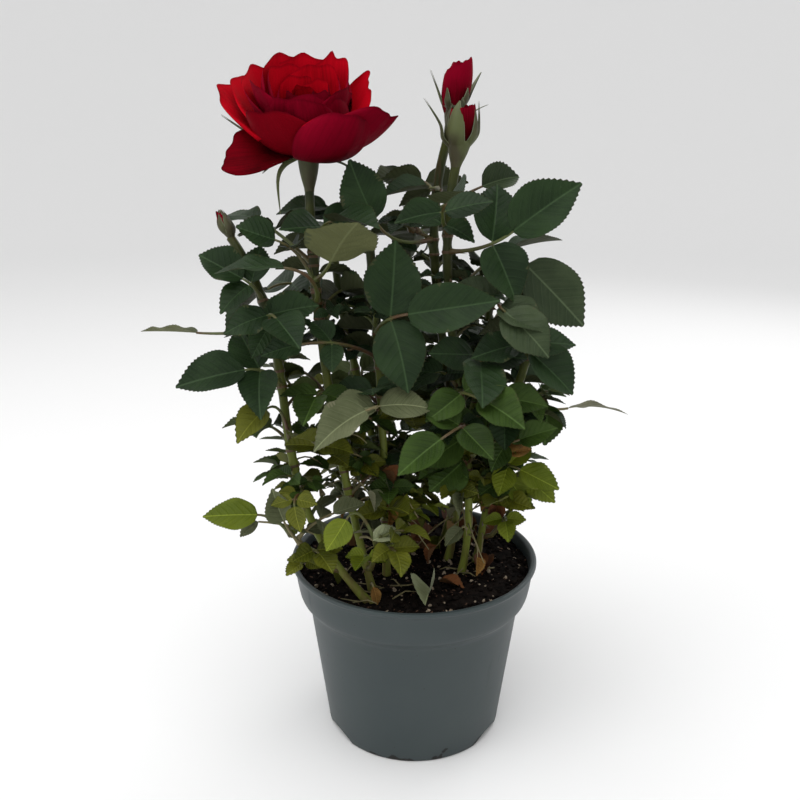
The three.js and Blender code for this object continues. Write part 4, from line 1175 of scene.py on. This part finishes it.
def petal_finish(name, deep, bright, edge):
    """Velvet: darker to the root, which paints shade into the cup and the buds, and along the rim, with fine
    ribs that fan out from the root; soft clouds and each petal's own tone are partly uneven colour, partly
    painted shade.
    """
    velvet = Finish(name, Roughness=0.75, Specular_IOR_Level=0.02)
    surface = velvet.add("UVMap", {"uv_map": "surface"}, {})
    across, along, _ = velvet.axes(surface)
    own = velvet.add("NewGeometry", {}, {}, out=8)
    tone_and_shade_clouds = velvet.grain(34, 3.0).ramped(0.32, 0.68)
    fan = velvet.add("VectorMath", {"operation": "MULTIPLY"}, {0: surface, 1: (55, 1.6, 1)})
    ribs = velvet.add("TexNoise", {}, {"Vector": fan, "Scale": 1.0, "Detail": 3.0})
    # The root gradient, the clouds and each petal's own tone paint shade into the red; the clouds and the
    # petal's own tone also carry its real unevenness.
    glow = (along * 0.6 + tone_and_shade_clouds * 0.5 + own * 0.45 + ribs * 0.7 - 0.6).ramped(0.05, 0.95)
    colour = velvet.blend(glow, (*deep, 1), (*bright, 1))
    rim = along.ramped(0.955, 1.0) + abs(across * 2 - 1).ramped(0.97, 1.0)
    velvet.paint("Base Color", velvet.blend(rim * 0.4, colour, (*edge, 1)))
    velvet.relief(ribs * 0.7 + velvet.grain(90, 2.0), 0.4, 0.5)
    velvet.paint("Roughness", 0.62 + ribs * 0.2)
    return velvet


petal_face = petal_finish("petal_face", (0.08, 0.0001, 0.0006), (0.43, 0.0008, 0.008), (0.06, 0.0, 0.003))
petal_back = petal_finish("petal_back", (0.036, 0.0001, 0.0006), (0.19, 0.0006, 0.011), (0.05, 0.0, 0.003))
# The third finish is painted shade: a darker red for the low outer petals that hang down.
petal_aged = petal_finish("petal_aged", (0.03, 0.0, 0.001), (0.16, 0.0004, 0.005), (0.03, 0.0, 0.003))

ruff = Draw(5119)
crown = Bench()
flower_foot = cane_at(CANES["bloom"], CANES["bloom"][3][2])
heart = flower_foot + Vector((0, 0, HIP_HEIGHT))
for shape in PETALS:
    lay_petal(crown, shape, heart, ruff)
for k in range(WHORL):
    share, heading = k / (WHORL - 1), 40 + GOLDEN_ANGLE * k
    back = 0.5 + 0.5 * math.sin(math.radians(heading))
    length = between(21, 26, share) + between(5, 12, share) * back
    whorl = petal(heading, between(14, 44, share), between(-34, -6, share), length, between(14, 30, share),
                  curl=between(0.4, 1.0, share), ruffle=between(0.2, 0.5, share), point=0)
    lay_petal(crown, whorl, heart, ruff)
flower = crown.turn_out("rose_petals", [petal_face, petal_back, petal_aged])
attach(flower, "root")
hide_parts("bloom")

sepal_green = Finish("sepal_green", Roughness=0.6)
tone = sepal_green.grain(110, 4.0, (1, 1, 0.5)).ramped(0.35, 0.68)
sepal_green.paint("Base Color", sepal_green.blend(tone, (0.04, 0.034, 0.01, 1), (0.07, 0.085, 0.02, 1)))
sepal_green.relief(sepal_green.grain(500, 2.0, (1, 1, 0.2)), 0.2)
sepal_pale = Finish("sepal_lining", Roughness=0.75)
downy = sepal_pale.blend(sepal_pale.grain(160), (0.12, 0.14, 0.075, 1), (0.26, 0.28, 0.18, 1))
sepal_pale.paint("Base Color", downy)


def lay_sepal(bench, path, width, outward, cup=0.25):
    """A sepal along a bent path: broad at the root, drawn out to a hair at the tip."""
    path = [Vector(p) for p in path]
    steps = 16
    rows, coords = [], []
    for step in range(steps + 1):
        t = step / steps
        spot = t * (len(path) - 1)
        i = min(int(spot), len(path) - 2)
        f = spot - i
        before, after = path[max(i - 1, 0)], path[min(i + 2, len(path) - 1)]
        a, b = path[i], path[i + 1]
        square, cube = 2 * before - 5 * a + 4 * b - after, 3 * a - before - 3 * b + after
        centre = 0.5 * (2 * a + (b - before) * f + square * f * f + cube * f**3)
        slope = (b - before) + square * 2 * f + cube * 3 * f * f
        along = slope.normalized()
        side = along.cross(Vector(outward)).normalized()
        up = side.cross(along)
        half = width * 0.5 * (0.55 + 1.8 * t) * (1 - t) ** 1.35 + 0.22 * (1 - t * 0.5)
        for column in (-1, -0.5, 0, 0.5, 1):
            rows.append(tuple(centre + side * column * half - up * cup * half * column * column))
            coords.append((0.5 + 0.5 * column, t))
    faces = grid_faces(steps + 1, 5)
    points = np.array(rows)
    thick = np.array(Vector(outward)) * 0.22
    bench.lay(points + thick, [f[::-1] for f in faces], 0, coords)
    bench.lay(points - thick, faces, 1, coords)


def hip(bench, foot, profile, lean=0.0, sides=20):
    """The swollen green end of the cane under a flower."""
    points = []
    for r, z in profile:
        for a in np.arange(sides) * 2 * math.pi / sides:
            x = foot.x + lean * z * (1 - z / 60) + r * math.cos(a)
            points.append((x, foot.y + r * math.sin(a), foot.z + z))
    top = tuple(range(len(points) - sides, len(points)))
    bench.lay(points, grid_faces(len(profile), sides, closed=True) + [top], 0)


# The bloom's hip as (radius, height), and its sepals, each as a path from the heart, a width and the
# way it faces.
BLOOM_HIP = [
    (2.1, -0.8), (2.25, 0.6), (2.7, 2.2), (3.3, 4.4), (3.9, 7), (4.3, 9.5), (4.6, 12), (5.2, 14), (6.0, 15.6),
]
BLOOM_SEPALS = [
    ([(-3, -4, 0), (-9.5, -6, -3.5), (-12.5, -6.5, -10), (-12, -6, -24)], 2.7, (0, -1, 0.2)),
    ([(4, -2, -1), (13, -4, -2.5), (20, -6, -6), (26, -7, -11)], 2.6, (0, -0.4, -1)),
    ([(-4, 3, -1), (-15, 7, 2), (-28, 9, 10), (-38, 7, 17)], 2.8, (0, -0.5, -1)),
    ([(-2, -4, -1), (-8, -8, -2), (-14, -11, -4), (-18, -12, -7)], 2.4, (0, -0.5, -1)),
    ([(1, 4, 0), (3, 12, 2), (5, 20, 5), (6, 27, 8)], 3.2, (0, -0.2, -1)),
]
calyx = Bench()
hip(calyx, flower_foot, BLOOM_HIP)
for path, width, outward in BLOOM_SEPALS:
    lay_sepal(calyx, [heart + Vector(place) for place in path], width, outward)
bloom_hip = calyx.turn_out("bloom_hip", [sepal_green, sepal_pale])
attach(bloom_hip, "root")
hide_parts("bloom")


# ---- Buds. Two red buds stand one behind the other on the tallest canes: furled petals rolled round
# each other inside a calyx whose sepals are peeling away. A third, small and shut, tips the left cane.

ROLL_THICKNESS = 0.3
BACK_LEAN, FRONT_LEAN, LEFT_LEAN = 0.2, 0.17, -0.4


def swayed(lean, z):
    """How far a bud stands off its foot at a height: it leans low down and straightens above."""
    return lean * 16 * np.tanh(z / 16)


def lay_roll(bench, draw, foot, bottom, lean, start, sweep, top, radius, slant):
    """A furled petal: part of a tube that bulges low down, its rim slanted and softly nicked."""
    u, v = np.meshgrid(np.linspace(0, 1, 19), np.linspace(0, 1, 25), indexing="ij")
    jag, phase, flare = draw(0.5, 1.0), draw(0, 6), draw(0.0, 0.5)
    angle = np.radians(start + sweep * v)
    rim = top + slant * (v - 0.5) + jag * np.sin(7 * v + phase) + 0.35 * np.sin(31 * v) - 3 * (2 * v - 1) ** 8
    z = bottom + (rim - bottom) * u
    belly = np.sin(np.pi * (0.14 + 0.56 * u)) ** 0.8
    edge = np.clip((v - 0.72) / 0.28, 0, 1) ** 2
    r = radius * belly * (1 - 0.14 * v) * (1 + 0.04 * np.sin(4 * v + 3 * u + phase))
    r = r + edge * u * 0.9 + flare * u**6
    x, y = foot.x + swayed(lean, z) + r * np.cos(angle), foot.y + r * np.sin(angle)
    coords = np.stack([v, u * 0.9], axis=-1)
    lay_skins(bench, np.stack([x, y, foot.z + z], axis=-1), coords, ROLL_THICKNESS, 1, 1)


furl = Draw(733)


def bud_petals(name, foot, bottom, rolls, replaced, lean):
    """The furled petals; each is a start and a sweep in degrees, a top, a radius and a slant."""
    bench = Bench()
    for roll in rolls:
        lay_roll(bench, furl, foot, bottom, lean, *roll)
    bud = bench.turn_out(name, [petal_face, petal_back])
    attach(bud, "root")
    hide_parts(replaced)


def bud_calyx(name, foot, hip_profile, sepals, replaced, lean):
    """The hip with its sepals; each sepal is a heading, reaches and heights, and a width."""
    bench = Bench()
    hip(bench, foot, hip_profile, lean)
    for heading, steps, width in sepals:
        out = compass(heading, 0)
        path = [foot + Vector((float(swayed(lean, z)), 0, z)) + out * reach for reach, z in steps]
        lay_sepal(bench, path, width, tuple(out), cup=0.5)
    piece = bench.turn_out(name, [sepal_green, sepal_pale])
    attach(piece, "root")
    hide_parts(replaced)


back_foot, front_foot, left_foot = (
    cane_at(CANES[name], CANES[name][3][2]) for name in ("back", "front", "left"))
bud_petals("back_bud_petals", back_foot, 6, [
    (-195, 200, 26.2, 6.6, 8),
    (-40, 215, 26.2, 6.1, -6),
    (140, 220, 25.8, 5.4, 6),
    (-100, 230, 25.8, 4.5, -3),
    (60, 250, 26.2, 3.4, 3),
], "bud_back", BACK_LEAN)
bud_petals("front_bud_petals", front_foot, 7, [
    (-150, 210, 23.8, 6.1, 2),
    (20, 220, 23.2, 5.6, -2),
    (180, 220, 23.2, 4.5, 3),
    (-50, 240, 23.4, 3.2, -2),
], "bud_front", FRONT_LEAN)
back_hip = [(2.0, -0.6), (2.5, 1.5), (3.2, 3.5), (3.7, 5.5), (4.1, 7.5), (4.6, 9), (5.2, 10)]
bud_calyx("back_bud_calyx", back_foot, back_hip, [
    (176, [(3.4, 7), (6.4, 12), (8.6, 17), (12.0, 25)], 4.4),
    (35, [(3.4, 7), (6.4, 12), (8.8, 17), (13.0, 24.5)], 7.0),
    (95, [(3.4, 7), (6.6, 12), (7.5, 18), (7, 23)], 4.6),
    (-125, [(3.4, 7), (6.7, 11), (7.2, 14), (7.6, 17)], 4.2),
    (-50, [(3.4, 7), (6.7, 11), (7.4, 14), (7.2, 17)], 4.4),
], "bud_back", BACK_LEAN)
front_hip = [(2.1, -0.6), (2.6, 1.2), (3.3, 3), (4.0, 5), (4.5, 7), (5.0, 8.6), (5.5, 10)]
bud_calyx("front_bud_calyx", front_foot, front_hip, [
    (-120, [(3.9, 7), (6.9, 12), (6.9, 18), (5.6, 23), (3.0, 26)], 12.0),
    (95, [(3.9, 7), (6.4, 14), (5.6, 21), (1.5, 27.6)], 16.0),
    (-28, [(3.9, 7), (7.0, 12), (7.0, 17), (5.8, 22.5)], 6.6),
    (170, [(3.9, 7), (6.8, 12), (6.6, 19), (4.6, 25)], 8.0),
    (185, [(3.9, 7), (7.9, 11), (9.6, 17), (16.4, 27)], 5.4),
    (5, [(3.9, 7), (7.4, 12), (7.6, 17), (6.6, 26)], 4.4),
    (35, [(3.9, 7), (5.6, 14), (5.4, 21), (13.6, 25)], 2.6),
], "bud_front", FRONT_LEAN)
left_rolls = [(0, 250, 11.0, 2.8, 0.6), (150, 250, 10.6, 2.1, -0.6)]
bud_petals("left_bud_petals", left_foot, 2.5, left_rolls, "bud_left", LEFT_LEAN)
left_hip = [(1.2, -0.4), (1.6, 0.6), (2.3, 1.6), (2.6, 2.6), (3.0, 4), (3.3, 5.2)]
bud_calyx("left_bud_calyx", left_foot, left_hip, [
    (heading, [(2.6, 2.4), (3.7, 5.0), (2.9, 8.4), (0.6, 12.6)], 5.2) for heading in (20, 92, 164, 236, 308)
], "bud_left", LEFT_LEAN)


# ---- Fallen litter. Dead leaflets, curled and rust brown, one pale withered leaf and dried stalks lie
# on the potting mix round the canes.

DRY_STALKS = 17
CLUMPS = ((26, -8), (-17, -33))
INSIDE_RIM = 53
# Each fallen leaf as its place, heading, length and colour.
LITTER = [
    (0.6, 14.1, 60, 20, "dry"), (8, 10, 150, 17, "dry"), (-6, 6, 20, 15, "dry"),
    (32.6, -16.2, 80, 15, "dry"), (28.8, 14.6, 130, 17, "dry"), (8, -31, -105, 17, "mint"),
    (12, -24, -20, 13, "dry"), (-30, 12, 200, 14, "dry"), (-8, 38, 90, 16, "dry"),
    (38, 22, 30, 14, "dry"), (-38, -12, 160, 12, "dry"), (20, 40, 70, 15, "dry"),
]
litter, sticks = Bench(), Bench()
fall = Draw(617)
for x, y, heading, length, tint in LITTER:
    rise, face = fall(2, 26), fall(-25, 40)
    start = Vector((x, y, soil_height(x, y) + 1.2))
    facing = compass(heading + fall(-60, 60), 90 - face)
    fold, bend, curl = fall(0.3, 0.9), fall(-0.1, 0.35), fall(-1.0, 1.2)
    lay_blade(litter, start, compass(heading, rise), facing, length, tint, fall, fold, bend, curl)
for _ in range(DRY_STALKS):
    cx, cy = CLUMPS[0] if fall() < 0.6 else CLUMPS[1]
    x, y = cx + fall(-13, 13), cy + fall(-9, 9)
    heading, length, rise = fall(0, 360), fall(6, 17), fall(-4, 30)
    start = Vector((x, y, soil_height(x, y) + 0.5))
    end = start + compass(heading, rise) * length
    if max(math.hypot(end.x, end.y), math.hypot(x, y)) > INSIDE_RIM:
        continue
    middle = between(start, end, 0.5) + Vector((fall(-2, 2), fall(-2, 2), fall(0, 1.5)))
    end.z = max(end.z, soil_height(end.x, end.y) + 0.4)
    tube(sticks, [start, middle, end], [0.4, 0.34, 0.15], 5, 0)
for name, bench, finishes in (("fallen_leaves", litter, LEAF_FINISHES), ("dry_stalks", sticks, [straw])):
    piece = bench.turn_out(name, finishes)
    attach(piece, "root")


# ---- Studio. A plain pale floor that sweeps up far away on every side, one wide soft light overhead,
# two weaker ones from the left and from behind, and a camera level with the bloom that looks down.

FLOOR_FLAT, FLOOR_BEND, FLOOR_SIDES = 2200, 1800, 96
ground = Bench()
sweep = [(r, 0) for r in (400, 1200, FLOOR_FLAT)]
for t in np.linspace(0.1, 1.5, 24):
    sweep.append((FLOOR_FLAT + FLOOR_BEND * math.sin(t), FLOOR_BEND * (1 - math.cos(t))))
turns = np.arange(FLOOR_SIDES) * 2 * math.pi / FLOOR_SIDES
points = [(r * math.cos(t), r * math.sin(t), z) for r, z in sweep for t in turns]
faces = [face[::-1] for face in grid_faces(len(sweep), FLOOR_SIDES, closed=True)]
ground.lay(points, faces + [tuple(range(FLOOR_SIDES))])
paper = Finish("floor_paper", Roughness=0.95, Specular_IOR_Level=0.1, Base_Color=(0.9, 0.9, 0.9, 1))
floor = ground.turn_out("floor", [paper])
floor.location.z = -0.0002

world = bpy.data.worlds.new("studio_air")
world.use_nodes = True
air = world.node_tree.nodes["Background"]
air.inputs["Color"].default_value = (1, 1, 1, 1)
air.inputs["Strength"].default_value = 0.78
bpy.context.scene.world = world
bpy.context.scene.view_settings.view_transform = "Standard"


def soft_light(name, place, aim, size, power):
    lamp = bpy.data.lights.new(name, "AREA")
    lamp.shape = "RECTANGLE"
    lamp.size, lamp.size_y = size
    lamp.energy = power
    light = bpy.data.objects.new(name, lamp)
    light.location = place
    light.rotation_euler = (Vector(aim) - Vector(place)).to_track_quat("-Z", "Y").to_euler()
    bpy.context.scene.collection.objects.link(light)


soft_light("overhead", (-0.25, -0.35, 1.25), (0, 0, 0.18), (1.1, 1.0), 7.5)
soft_light("left_side", (-1.1, -0.6, 0.6), (0, 0, 0.18), (0.6, 0.9), 1.8)
soft_light("behind", (0.7, 0.9, 0.9), (0, 0, 0.2), (0.7, 0.7), 3)

# The camera's dip and turn in degrees, and its focal length as a share of the sensor's width.
CAMERA_DIP, CAMERA_TURN, FOCAL_SHARE = 16.15, 1.05, 1.0425
lens = bpy.data.cameras.new("camera")
lens.sensor_width = 36
lens.lens = FOCAL_SHARE * lens.sensor_width
lens.clip_start = 0.01
camera = bpy.data.objects.new("camera", lens)
camera.location = (0, -0.376, 0.275)
camera.rotation_euler = (math.radians(90 - CAMERA_DIP), 0, math.radians(CAMERA_TURN))
bpy.context.scene.collection.objects.link(camera)
bpy.context.scene.camera = camera
